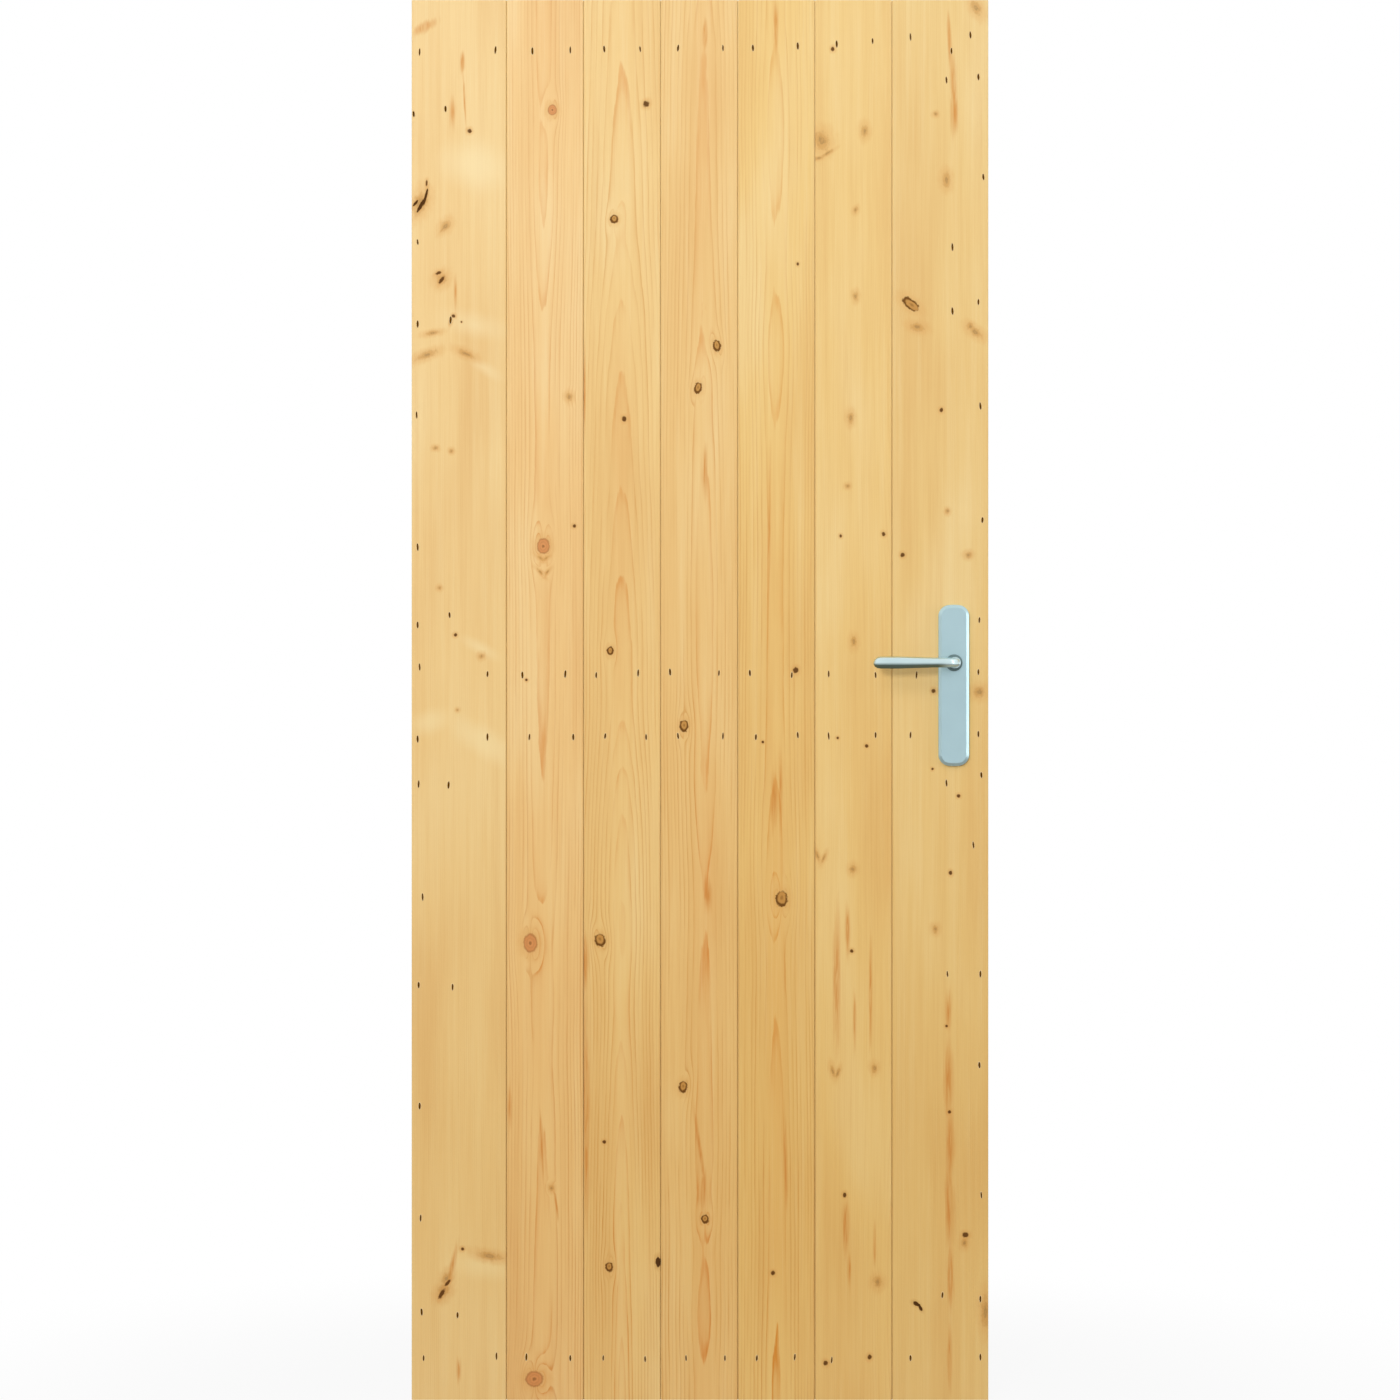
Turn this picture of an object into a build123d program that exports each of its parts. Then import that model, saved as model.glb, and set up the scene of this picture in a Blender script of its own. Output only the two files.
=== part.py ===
"""A boarded timber back door with a lever handle on both faces.

Tongued and grooved boards are nailed to a frame of two stiles and three rails, joined by stub
tenons. A long plate on each face carries a lever, one square spindle joins the two levers, and the
spindle turns the follower of a latch that is let into the lock edge.

X runs from the hinge edge to the lock edge, Y from the boarded face to the framed face, and Z up.
The origin is on the hinge edge, at the foot of the door, in the middle of its thickness. All sizes
are in millimetres. The pieces stand where they are in the closed door, with the lever level.
"""

from build123d import *
import os
from math import cos, radians, sin, sqrt

# Door leaf
door_width = 830.0
door_height = 2015.0
board_thickness = 14.0
frame_thickness = 26.0
arris_radius = 1.2

# Boards, counted from the hinge edge: the two outer ones differ, and the rest share what is left
board_count = 7
first_board_width = 136.5
last_board_width = 138.5
seam_gap = 0.9
seam_chamfer = 1.5
tongue_length = 7.0
tongue_thickness = 4.6
tongue_nose = 0.8
tongue_depth = 5.4
tongue_side_clearance = 0.15
tongue_end_clearance = 1.0

# Frame
stile_width = 95.0
top_rail_height = 120.0
mid_rail_height = 140.0
bottom_rail_height = 120.0
mid_rail_below_spindle = 61.0
frame_edge_radius = 2.5
tenon_length = 14.0
tenon_thickness = 9.0
tenon_shoulder = 12.0
tenon_clearance = 0.1
tenon_end_clearance = 0.8

# Handle position
spindle_height = 1061.0
backset = 50.0

# Plates
plate_width = 44.0
plate_length = 232.0
plate_above_spindle = 83.5
plate_thickness = 9.0
plate_corner_radius = 16.0
plate_end_radius = 62.0
plate_bevel_width = 4.2
plate_bevel_depth = 3.2
plate_wall = 3.0
plate_bearing_radius = 12.5
plate_screw_inset = 22.0
plate_boss_radius = 6.0
post_radius = 4.0
post_length = 30.0
post_clearance = 0.4

# Screws through the plates
plate_screw_radius = 2.5
plate_screw_length = 34.0
screw_head_radius = 4.6
screw_head_clearance = 0.2
screw_clearance = 0.1
screw_sides = 16
screw_head_rim = 0.1
socket_radius = 1.6
socket_depth = 2.2
screw_cone_angle = 90.0

# Collars between the plates and the lever necks
collar_radius = 12.0
collar_height = 4.5
journal_clearance = 0.1

# Levers
lever_length = 117.5
lever_reach = 46.0
journal_radius = 8.0
journal_depth = 8.0
elbow_radius = 15.0
elbow_steps = 4
elbow_half_height = 7.3
elbow_half_depth = 7.0
waist_distance = 26.0
waist_half_height = 7.4
waist_half_depth = 6.5
belly_distance = 82.0
belly_half_height = 9.5
belly_half_depth = 5.8
grip_corner_radius = 2.2
grip_steps = 2
nose_length = 10.0
nose_drop = 1.6
nose_last_angle = 80.0
nose_steps = 3

# Corners of the lever's section, in shares of its half height and half depth, from the top round
# the outer side
lever_corners = [(1.0, 0.55), (0.72, -0.84), (-0.4, -1.0), (-1.0, -0.1), (-0.55, 1.0)]

# Spindle and the screw that holds the inner lever on it
spindle_side = 8.0
spindle_clearance = 0.1
spindle_socket_end = 4.0
spindle_in_lever = 24.0
spindle_end_chamfer = 0.6
grub_screw_radius = 2.5
grub_screw_length = 4.0
grub_screw_from_plate = 14.0
spindle_hole_radius = 10.5

# Latch in the lock edge
latch_case_depth = 75.0
latch_case_thickness = 14.0
latch_case_above_spindle = 45.0
latch_case_below_spindle = 60.0
case_clearance = 0.5
case_edge_radius = 1.0
follower_radius = 10.0
follower_clearance = 0.1
follower_stand_out = 0.8
forend_width = 20.0
forend_length = 174.0
forend_thickness = 3.0
forend_centre_below_spindle = 8.0
forend_clearance = 0.15
forend_screw_inset = 9.5
forend_screw_radius = 1.9
forend_screw_length = 28.0
forend_screw_head_radius = 3.6
bolt_slope_length = 10.0
bolt_height = 22.0
bolt_thickness = 10.0
bolt_nose = 2.4
bolt_inside = 27.0
bolt_above_spindle = 18.0
bolt_clearance = 0.2
bolt_edge_radius = 0.6

# Places that follow from the sizes
door_thickness = board_thickness + frame_thickness
half_thickness = door_thickness / 2
board_back = board_thickness - door_thickness / 2
frame_middle = board_back + frame_thickness / 2
spindle_x = door_width - backset
plate_top = spindle_height + plate_above_spindle
plate_bottom = plate_top - plate_length
plate_middle = (plate_top + plate_bottom) / 2
plate_screw_heights = [plate_top - plate_screw_inset, plate_bottom + plate_screw_inset]
plate_face = half_thickness + plate_thickness
grip_plane = plate_face + lever_reach
case_top = spindle_height + latch_case_above_spindle
case_bottom = spindle_height - latch_case_below_spindle
case_outer = door_width - forend_thickness
case_inner = case_outer - latch_case_depth
forend_middle = spindle_height - forend_centre_below_spindle
forend_screw_reach = forend_length / 2 - forend_screw_inset
bolt_middle = spindle_height + bolt_above_spindle
inner_board_width = (door_width - first_board_width - last_board_width) / (board_count - 2)
board_edges = [0.0]
board_edges += [first_board_width + i * inner_board_width for i in range(board_count - 1)]
board_edges.append(door_width)
mid_rail_centre = spindle_height - mid_rail_below_spindle
rail_bands = {
    "top_rail": (door_height - top_rail_height, door_height),
    "mid_rail": (mid_rail_centre - mid_rail_height / 2, mid_rail_centre + mid_rail_height / 2),
    "bottom_rail": (0.0, bottom_rail_height),
}

# The boarded face, the lock edge and the seat of the outer plate, each as a plane that looks away
# from the door
front_plane = Plane.XZ.offset(half_thickness)
lock_edge_plane = Plane(origin=(door_width, frame_middle, 0), x_dir=(0, 1, 0), z_dir=(1, 0, 0))
plate_plane = Plane(
    origin=(spindle_x, -half_thickness, plate_middle), x_dir=(1, 0, 0), z_dir=(0, -1, 0)
)


def drill_through_door(radius, x, heights):
    """Drills level holes from face to face in the part being built."""
    with BuildSketch(front_plane) as holes:
        with Locations(*[(x, height) for height in heights]):
            Circle(radius)
    extrude(holes.sketch, amount=-door_thickness, mode=Mode.SUBTRACT)


def drill_for_handle():
    """Drills for the spindle and for the posts of the outer plate."""
    drill_through_door(spindle_hole_radius, spindle_x, [spindle_height])
    drill_through_door(post_radius + post_clearance, spindle_x, plate_screw_heights)


def make_board(index):
    """A board: a tongue on its right edge, a groove in its left, and a V at each seam."""
    is_first = index == 0
    is_last = index == board_count - 1
    left = board_edges[index] + (0 if is_first else seam_gap / 2)
    right = board_edges[index + 1] - (0 if is_last else seam_gap / 2)
    tongue_middle = -half_thickness + tongue_depth + tongue_thickness / 2
    groove_width = tongue_thickness + 2 * tongue_side_clearance
    groove_depth = tongue_length - seam_gap + tongue_end_clearance
    with BuildPart() as board:
        with BuildSketch():
            with Locations(((left + right) / 2, (board_back - half_thickness) / 2)):
                Rectangle(right - left, board_thickness)
            front_corners = vertices().group_by(Axis.Y)[0].sort_by(Axis.X)
            outer_corners = ([front_corners[0]] if is_first else []) + (
                [front_corners[1]] if is_last else []
            )
            seam_corners = [corner for corner in front_corners if corner not in outer_corners]
            chamfer(seam_corners, seam_chamfer)
            if outer_corners:
                fillet(outer_corners, arris_radius)
            if not is_last:
                with Locations((right + tongue_length / 2, tongue_middle)):
                    Rectangle(tongue_length, tongue_thickness)
                chamfer(vertices().group_by(Axis.X)[-1], tongue_nose)
            if not is_first:
                with Locations((left + groove_depth / 2, tongue_middle)):
                    Rectangle(groove_depth, groove_width, mode=Mode.SUBTRACT)
        extrude(amount=door_height)
        drill_for_handle()
    return board.part


def cut_mortise(inner_edge, direction, band):
    """Cuts one stub mortise into a stile, from its inner edge at x towards the outer edge."""
    bottom, top = band
    height = top - bottom - 2 * tenon_shoulder + 2 * tenon_clearance
    depth = tenon_length + tenon_end_clearance
    mouth = Plane(
        origin=(inner_edge, frame_middle, (bottom + top) / 2),
        x_dir=(0, 1, 0),
        z_dir=(direction, 0, 0),
    )
    with BuildSketch(mouth) as opening:
        Rectangle(tenon_thickness + 2 * tenon_clearance, height)
    extrude(opening.sketch, amount=depth, mode=Mode.SUBTRACT)


def make_stile(outer_edge, inner_edge):
    """A full-height stile with a mortise for each rail."""
    direction = 1 if outer_edge > inner_edge else -1
    with BuildPart() as stile:
        with BuildSketch():
            with Locations(((outer_edge + inner_edge) / 2, frame_middle)):
                Rectangle(stile_width, frame_thickness)
            fillet(vertices().group_by(Axis.Y)[-1], frame_edge_radius)
        extrude(amount=door_height)
        for band in rail_bands.values():
            cut_mortise(inner_edge, direction, band)
    return stile.part


def make_lock_stile():
    """The lock stile: drilled for the handle and mortised for the latch from its outer edge."""
    with BuildPart() as stile:
        add(make_stile(door_width, door_width - stile_width))
        drill_for_handle()
        with BuildSketch(lock_edge_plane):
            with Locations((0, forend_middle)):
                SlotOverall(
                    forend_length + 2 * forend_clearance,
                    forend_width + 2 * forend_clearance,
                    rotation=90,
                )
        extrude(amount=-forend_thickness, mode=Mode.SUBTRACT)
        with BuildSketch(lock_edge_plane):
            with Locations((0, (case_top + case_bottom) / 2)):
                Rectangle(
                    latch_case_thickness + 2 * case_clearance,
                    case_top - case_bottom + 2 * case_clearance,
                )
        extrude(
            amount=-(forend_thickness + latch_case_depth + case_clearance), mode=Mode.SUBTRACT
        )
        with BuildSketch(lock_edge_plane):
            with Locations(
                (0, forend_middle - forend_screw_reach), (0, forend_middle + forend_screw_reach)
            ):
                Circle(forend_screw_radius + screw_clearance)
        extrude(amount=-(forend_screw_length + screw_clearance), mode=Mode.SUBTRACT)
    return stile.part


def make_rail(band):
    """A rail between the stiles, with a stub tenon at each end."""
    bottom, top = band
    shoulder_left = stile_width
    shoulder_right = door_width - stile_width
    length = shoulder_right - shoulder_left
    with BuildPart() as rail:
        with BuildSketch(Plane.YZ.offset(shoulder_left)):
            with Locations((frame_middle, (bottom + top) / 2)):
                Rectangle(frame_thickness, top - bottom)
            fillet(vertices().group_by(Axis.Y)[-1], frame_edge_radius)
        extrude(amount=length)
        with BuildSketch(Plane.YZ.offset(shoulder_left - tenon_length)):
            with Locations((frame_middle, (bottom + top) / 2)):
                Rectangle(tenon_thickness, top - bottom - 2 * tenon_shoulder)
        extrude(amount=length + 2 * tenon_length)
    return rail.part


def draw_plate_outline(inset):
    """Draws the plate's outline, or one that lies inside it: straight sides and crowned ends."""
    half_width = plate_width / 2 - inset
    half_length = plate_length / 2 - inset
    end_radius = plate_end_radius - inset
    half_side = half_length - end_radius + sqrt(end_radius**2 - half_width**2)
    with BuildSketch(plate_plane) as outline:
        with BuildLine():
            ThreePointArc((-half_width, half_side), (0, half_length), (half_width, half_side))
            Line((half_width, half_side), (half_width, -half_side))
            ThreePointArc((half_width, -half_side), (0, -half_length), (-half_width, -half_side))
            Line((-half_width, -half_side), (-half_width, half_side))
        make_face()
        fillet(vertices(), plate_corner_radius - inset)
    return outline.sketch


def make_plate_shell():
    """The plate that both faces share, on the boarded face: a bevelled shell, hollow behind."""
    with BuildPart() as plate:
        extrude(draw_plate_outline(0), amount=plate_thickness)
        outer_face = faces().sort_by(Axis.Y)[0]
        chamfer(outer_face.edges(), plate_bevel_width, plate_bevel_depth, reference=outer_face)
        hollow_depth = plate_thickness - plate_wall
        extrude(draw_plate_outline(plate_wall), amount=hollow_depth, mode=Mode.SUBTRACT)
        with BuildSketch(front_plane):
            with Locations((spindle_x, spindle_height)):
                Circle(plate_bearing_radius)
            with Locations(*[(spindle_x, height) for height in plate_screw_heights]):
                Circle(plate_boss_radius)
        extrude(amount=hollow_depth)
        with BuildSketch(front_plane):
            with Locations((spindle_x, spindle_height)):
                Circle(journal_radius + journal_clearance)
        extrude(amount=plate_thickness, mode=Mode.SUBTRACT)
    return plate.part


def make_front_plate():
    """The outer plate: a blank face, and two posts behind it that take the screws."""
    with BuildPart() as plate:
        add(make_plate_shell())
        with BuildSketch(front_plane):
            with Locations(*[(spindle_x, height) for height in plate_screw_heights]):
                Circle(post_radius)
        extrude(amount=-post_length)
        with BuildSketch(front_plane.offset(-post_length)):
            with Locations(*[(spindle_x, height) for height in plate_screw_heights]):
                Circle(plate_screw_radius + screw_clearance)
        extrude(amount=post_length, mode=Mode.SUBTRACT)
    return plate.part


def make_back_plate():
    """The inner plate: the same shell turned round, with two countersunk holes."""
    with BuildPart() as plate:
        mirror(make_plate_shell(), about=Plane.XZ)
        for height in plate_screw_heights:
            with Locations(Plane(origin=(spindle_x, plate_face, height), z_dir=(0, 1, 0))):
                CounterSinkHole(
                    plate_screw_radius + screw_clearance,
                    screw_head_radius + screw_head_clearance,
                    plate_thickness,
                    screw_cone_angle,
                )
    return plate.part


def make_countersunk_screw(seat, shank_radius, head_radius, length):
    """A countersunk screw, its head flush with the seat, with many small flats for its thread."""
    head_depth = head_radius - shank_radius
    with BuildPart() as screw:
        with BuildSketch():
            RegularPolygon(head_radius, screw_sides)
        extrude(amount=-(head_depth + screw_head_rim))
        chamfer(faces().sort_by(Axis.Z)[0].edges(), head_depth)
        with BuildSketch():
            RegularPolygon(shank_radius, screw_sides)
        extrude(amount=-length)
    return seat * screw.part


def make_collar():
    """The collar round the lever's neck, seated on the face of the outer plate."""
    with BuildPart() as collar:
        with BuildSketch(Plane.XZ.offset(plate_face)):
            with Locations((spindle_x, spindle_height)):
                Circle(collar_radius)
                Circle(journal_radius + journal_clearance, mode=Mode.SUBTRACT)
        extrude(amount=collar_height)
    return collar.part


def lever_plane(distance, drop=0.0):
    """The plane across the lever's straight part at a distance from the spindle's axis."""
    return Plane(
        origin=(spindle_x - distance, -grip_plane, spindle_height - drop),
        x_dir=(0, 0, 1),
        z_dir=(-1, 0, 0),
    )


def elbow_plane(turn):
    """The plane across the elbow after it has turned some degrees from the neck to the grip."""
    along = Vector(0, -1, 0).rotate(Axis.Z, -turn)
    outwards = Vector(1, 0, 0).rotate(Axis.Z, -turn)
    bend_centre = Vector(spindle_x - elbow_radius, elbow_radius - grip_plane, spindle_height)
    return Plane(origin=bend_centre + outwards * elbow_radius, x_dir=(0, 0, 1), z_dir=along)


def draw_lever_section(plane, half_height, half_depth, size=1.0):
    """Draws the lever's section: flat faces with soft corners, and a ridge low on its outer side."""
    height = half_height * size
    depth = half_depth * size
    with BuildSketch(plane) as section:
        with BuildLine():
            Polyline(*[(height * up, depth * back) for up, back in lever_corners], close=True)
        make_face()
        fillet(vertices(), grip_corner_radius * size)
    return section.sketch


def swell_sections():
    """The sections round the elbow and through the waist to the belly of the grip."""
    sections = []
    for step in range(elbow_steps + 1):
        turned = elbow_plane(90 * step / elbow_steps)
        sections.append(draw_lever_section(turned, elbow_half_height, elbow_half_depth))
    for step in range(grip_steps + 1):
        share = step / grip_steps
        swell = (1 - cos(radians(180 * share))) / 2
        sections.append(
            draw_lever_section(
                lever_plane(waist_distance + share * (belly_distance - waist_distance)),
                waist_half_height + swell * (belly_half_height - waist_half_height),
                waist_half_depth + swell * (belly_half_depth - waist_half_depth),
            )
        )
    return sections


def nose_sections():
    """The sections of the nose, that shrink and drop towards its tip."""
    sections = []
    for step in range(nose_steps + 1):
        angle = radians(nose_last_angle * step / nose_steps)
        reach = sin(angle) / sin(radians(nose_last_angle))
        size = cos(angle)
        plane = lever_plane(lever_length - nose_length * (1 - reach), nose_drop * (1 - size))
        sections.append(draw_lever_section(plane, belly_half_height, belly_half_depth, size))
    return sections


def make_front_lever():
    """The outer lever: a turned neck, an elbow and a grip that swells towards a rounded nose."""
    elbow_start = grip_plane - elbow_radius
    journal_start = plate_face - journal_depth
    with BuildPart() as lever:
        loft(swell_sections(), ruled=True)
        belly_section = draw_lever_section(
            lever_plane(belly_distance), belly_half_height, belly_half_depth
        )
        extrude(belly_section, amount=lever_length - nose_length - belly_distance)
        loft(nose_sections(), ruled=True)
        with BuildSketch(Plane.XZ.offset(journal_start)):
            with Locations((spindle_x, spindle_height)):
                Circle(journal_radius)
        extrude(amount=elbow_start - journal_start)
        with BuildSketch(Plane.XZ.offset(journal_start)):
            with Locations((spindle_x, spindle_height)):
                Rectangle(spindle_side + 2 * spindle_clearance, spindle_side + 2 * spindle_clearance)
        extrude(amount=journal_depth + spindle_in_lever + spindle_socket_end, mode=Mode.SUBTRACT)
    return lever.part


def make_back_lever(front_lever):
    """The inner lever: the outer one turned round, with a tapped hole below for the screw."""
    with BuildPart() as lever:
        mirror(front_lever, about=Plane.XZ)
        with BuildSketch(Plane.XY.offset(spindle_height - journal_radius)):
            with Locations((spindle_x, plate_face + grub_screw_from_plate)):
                Circle(grub_screw_radius + screw_clearance)
        extrude(amount=journal_radius, mode=Mode.SUBTRACT)
    return lever.part


def make_grub_screw():
    """The screw under the inner lever's neck, that bears on the spindle."""
    top = spindle_height - spindle_side / 2
    with BuildPart() as screw:
        with BuildSketch(Plane.XY.offset(top)):
            with Locations((spindle_x, plate_face + grub_screw_from_plate)):
                Circle(grub_screw_radius)
        extrude(amount=-grub_screw_length)
        with BuildSketch(Plane.XY.offset(top - grub_screw_length)):
            with Locations((spindle_x, plate_face + grub_screw_from_plate)):
                RegularPolygon(socket_radius, 6)
        extrude(amount=socket_depth, mode=Mode.SUBTRACT)
    return screw.part


def make_spindle():
    """The square bar that joins the levers through the follower."""
    half_length = plate_face + spindle_in_lever
    with BuildPart() as spindle:
        with BuildSketch(Plane.XZ.offset(half_length)):
            with Locations((spindle_x, spindle_height)):
                Rectangle(spindle_side, spindle_side)
        extrude(amount=-2 * half_length)
        end_edges = faces().group_by(Axis.Y)[0].edges() + faces().group_by(Axis.Y)[-1].edges()
        chamfer(end_edges, spindle_end_chamfer)
    return spindle.part


def make_follower():
    """The ring in the latch case that the spindle turns."""
    half_length = latch_case_thickness / 2 + follower_stand_out
    hole = spindle_side + 2 * spindle_clearance
    with BuildPart() as follower:
        with BuildSketch(Plane.XZ.offset(half_length - frame_middle)):
            with Locations((spindle_x, spindle_height)):
                Circle(follower_radius)
                Rectangle(hole, hole, mode=Mode.SUBTRACT)
        extrude(amount=-2 * half_length)
    return follower.part


def make_latch_case():
    """The case of the latch, bored for the follower and channelled for the bolt."""
    with BuildPart() as case:
        with BuildSketch(Plane.XZ.offset(latch_case_thickness / 2 - frame_middle)):
            with Locations(((case_inner + case_outer) / 2, (case_top + case_bottom) / 2)):
                Rectangle(latch_case_depth, case_top - case_bottom)
            with Locations((spindle_x, spindle_height)):
                Circle(follower_radius + follower_clearance, mode=Mode.SUBTRACT)
        extrude(amount=-latch_case_thickness)
        fillet(edges().filter_by(Axis.Y).sort_by(Axis.X)[:2], case_edge_radius)
        with BuildSketch(lock_edge_plane.offset(-forend_thickness)):
            with Locations((0, bolt_middle)):
                Rectangle(bolt_thickness + 2 * bolt_clearance, bolt_height + 2 * bolt_clearance)
        extrude(amount=-(bolt_inside + bolt_clearance), mode=Mode.SUBTRACT)
    return case.part


def make_forend():
    """The round-ended strip that closes the latch mortise, flush with the lock edge."""
    with BuildPart() as forend:
        with BuildSketch(lock_edge_plane.offset(-forend_thickness)):
            with Locations((0, forend_middle)):
                SlotOverall(forend_length, forend_width, rotation=90)
            with Locations((0, bolt_middle)):
                Rectangle(
                    bolt_thickness + 2 * bolt_clearance,
                    bolt_height + 2 * bolt_clearance,
                    mode=Mode.SUBTRACT,
                )
        extrude(amount=forend_thickness)
        for height in (forend_middle - forend_screw_reach, forend_middle + forend_screw_reach):
            with Locations(Plane(origin=(door_width, frame_middle, height), z_dir=(1, 0, 0))):
                CounterSinkHole(
                    forend_screw_radius + screw_clearance,
                    forend_screw_head_radius + screw_head_clearance,
                    forend_thickness,
                    screw_cone_angle,
                )
    return forend.part


def make_latch_bolt():
    """The spring bolt, drawn back into the edge, with its slope towards the boarded face."""
    inner = case_outer - bolt_inside
    nose = door_width
    root = nose - bolt_slope_length
    front = frame_middle - bolt_thickness / 2
    back = frame_middle + bolt_thickness / 2
    with BuildPart() as bolt:
        with BuildSketch(Plane.XY.offset(bolt_middle - bolt_height / 2)):
            with BuildLine():
                Polyline(
                    (root, front),
                    (inner, front),
                    (inner, back),
                    (nose, back),
                    (nose, back - bolt_nose),
                )
                ThreePointArc(
                    (nose, back - bolt_nose),
                    ((root + nose) / 2 + bolt_nose / 2, (front + back - bolt_nose) / 2 - bolt_nose / 2),
                    (root, front),
                )
            make_face()
        extrude(amount=bolt_height)
        fillet(edges().filter_by(Axis.Z).group_by(Axis.X)[-1], bolt_edge_radius)
    return bolt.part


def save(part, name):
    """Names a finished piece and writes it."""
    part.label = name
    export_step(part, f"parts/{name}.step")


os.makedirs("parts", exist_ok=True)

for number in range(1, len(board_edges)):
    save(make_board(number - 1), f"board_{number}")

save(make_stile(0.0, stile_width), "hinge_stile")
save(make_lock_stile(), "lock_stile")
for rail_name, rail_band in rail_bands.items():
    save(make_rail(rail_band), rail_name)

save(make_front_plate(), "front_plate")
save(make_back_plate(), "back_plate")
for screw_name, screw_height in zip(("plate_screw_upper", "plate_screw_lower"), plate_screw_heights):
    screw_seat = Plane(origin=(spindle_x, plate_face, screw_height), z_dir=(0, 1, 0))
    save(
        make_countersunk_screw(
            screw_seat, plate_screw_radius, screw_head_radius, plate_screw_length
        ),
        screw_name,
    )

front_collar = make_collar()
save(front_collar, "front_collar")
save(mirror(front_collar, about=Plane.XZ), "back_collar")

front_lever = make_front_lever()
save(front_lever, "front_lever")
save(make_back_lever(front_lever), "back_lever")
save(make_grub_screw(), "lever_grub_screw")
save(make_spindle(), "spindle")
save(make_follower(), "follower")

save(make_latch_case(), "latch_case")
save(make_forend(), "forend")
save(make_latch_bolt(), "latch_bolt")
for screw_name, side in (("forend_screw_upper", 1), ("forend_screw_lower", -1)):
    screw_seat = Plane(
        origin=(door_width, frame_middle, forend_middle + side * forend_screw_reach),
        z_dir=(1, 0, 0),
    )
    save(
        make_countersunk_screw(
            screw_seat, forend_screw_radius, forend_screw_head_radius, forend_screw_length
        ),
        screw_name,
    )
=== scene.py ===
"""Finishes, fixings and lighting of a boarded timber back door.

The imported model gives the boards, the frame behind them, the two lever handles on their long plates
and the latch in the lock edge. This script gives the wood its rings, fibres, knots and resin, gives
the metal its anodised and plated surfaces, softens the edges of the handles, adds the brads that
hold the boards to the frame and the recesses of the small screws, and sets the door up in a plain
studio.

Lengths are metres unless a name says otherwise. X runs to the lock edge, Y to the framed face and Z
up. Places that were found in the photograph are kept as its columns and rows.
"""

import logging
import math
import random
from dataclasses import dataclass, field, replace
from enum import Enum
from typing import Callable, Dict, Optional, Sequence, Tuple, Union

import bpy
from mathutils import Matrix, Vector


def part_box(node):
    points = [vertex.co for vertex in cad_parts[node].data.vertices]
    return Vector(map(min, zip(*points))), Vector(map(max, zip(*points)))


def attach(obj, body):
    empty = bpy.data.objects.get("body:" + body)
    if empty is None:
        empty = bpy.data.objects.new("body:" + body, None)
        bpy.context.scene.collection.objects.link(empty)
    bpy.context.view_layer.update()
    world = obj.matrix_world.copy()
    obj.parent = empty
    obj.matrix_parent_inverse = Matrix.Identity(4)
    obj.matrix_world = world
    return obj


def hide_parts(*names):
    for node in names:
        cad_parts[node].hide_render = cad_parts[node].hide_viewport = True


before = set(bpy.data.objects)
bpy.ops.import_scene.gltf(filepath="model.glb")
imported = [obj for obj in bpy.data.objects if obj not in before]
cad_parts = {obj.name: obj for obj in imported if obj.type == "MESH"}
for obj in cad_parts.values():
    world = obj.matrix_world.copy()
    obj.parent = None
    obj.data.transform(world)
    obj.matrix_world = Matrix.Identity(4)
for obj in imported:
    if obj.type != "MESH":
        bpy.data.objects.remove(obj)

logging.basicConfig(level=logging.INFO, format="%(message)s")
log = logging.getLogger("door")

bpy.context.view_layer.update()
MILLIMETRE = 0.001
Colour = Tuple[float, float, float]
Point = Tuple[float, float, float]
Pair = Tuple[float, float]
Steps = Tuple[Tuple[float, float, int], ...]
Finishes = Sequence[bpy.types.Material]


@dataclass(frozen=True)
class PhotoScale:
    """Turns the photograph's columns and rows into places on the boarded face."""

    hinge_edge_column: float = 411.0
    lock_edge_column: float = 989.0
    foot_row: float = 1400.0
    head_row: float = 0.0

    def across(self, column: float) -> float:
        """Returns the distance from the hinge edge, for a column."""
        return self.size(column - self.hinge_edge_column)

    def up(self, row: float) -> float:
        """Returns the height above the foot of the door, for a row."""
        return (self.foot_row - row) / (self.foot_row - self.head_row) * DOOR.height

    def size(self, pixels: float) -> float:
        """Returns the length of a number of pixels."""
        return pixels * DOOR.width / (self.lock_edge_column - self.hinge_edge_column)


@dataclass(frozen=True)
class DoorSizes:
    """The door leaf's sizes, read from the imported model."""

    width: float
    height: float
    front: float
    back: float


def measure_door() -> DoorSizes:
    """Reads the leaf's sizes from its boards and its stile.

    Returns:
        The width, the height and the two faces of the leaf.
    """
    first_low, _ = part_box("board_1")
    _, last_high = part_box("board_7")
    _, stile_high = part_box("hinge_stile")
    return DoorSizes(width=last_high.x, height=last_high.z, front=first_low.y, back=stile_high.y)


DOOR = measure_door()
PHOTO = PhotoScale()


def linear(red: int, green: int, blue: int) -> Colour:
    """Turns a colour as seen on a screen, in 0 to 255, into the linear light that shaders take."""
    shares = (channel / 255 for channel in (red, green, blue))
    return tuple(s / 12.92 if s <= 0.04045 else ((s + 0.055) / 1.055) ** 2.4 for s in shares)


def arithmetic(operation: str, turned: bool = False) -> Callable[["Signal", "Operand"], "Signal"]:
    """Makes a method of Signal that adds a Math node.

    Args:
        operation: The node's operation.
        turned: Whether the signal is the second value.

    Returns:
        The method.
    """

    def method(signal: "Signal", other: "Operand") -> "Signal":
        """Works out the signal and another value."""
        values = (other, signal) if turned else (signal, other)
        return signal.tree.math(operation, *values)

    return method


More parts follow.
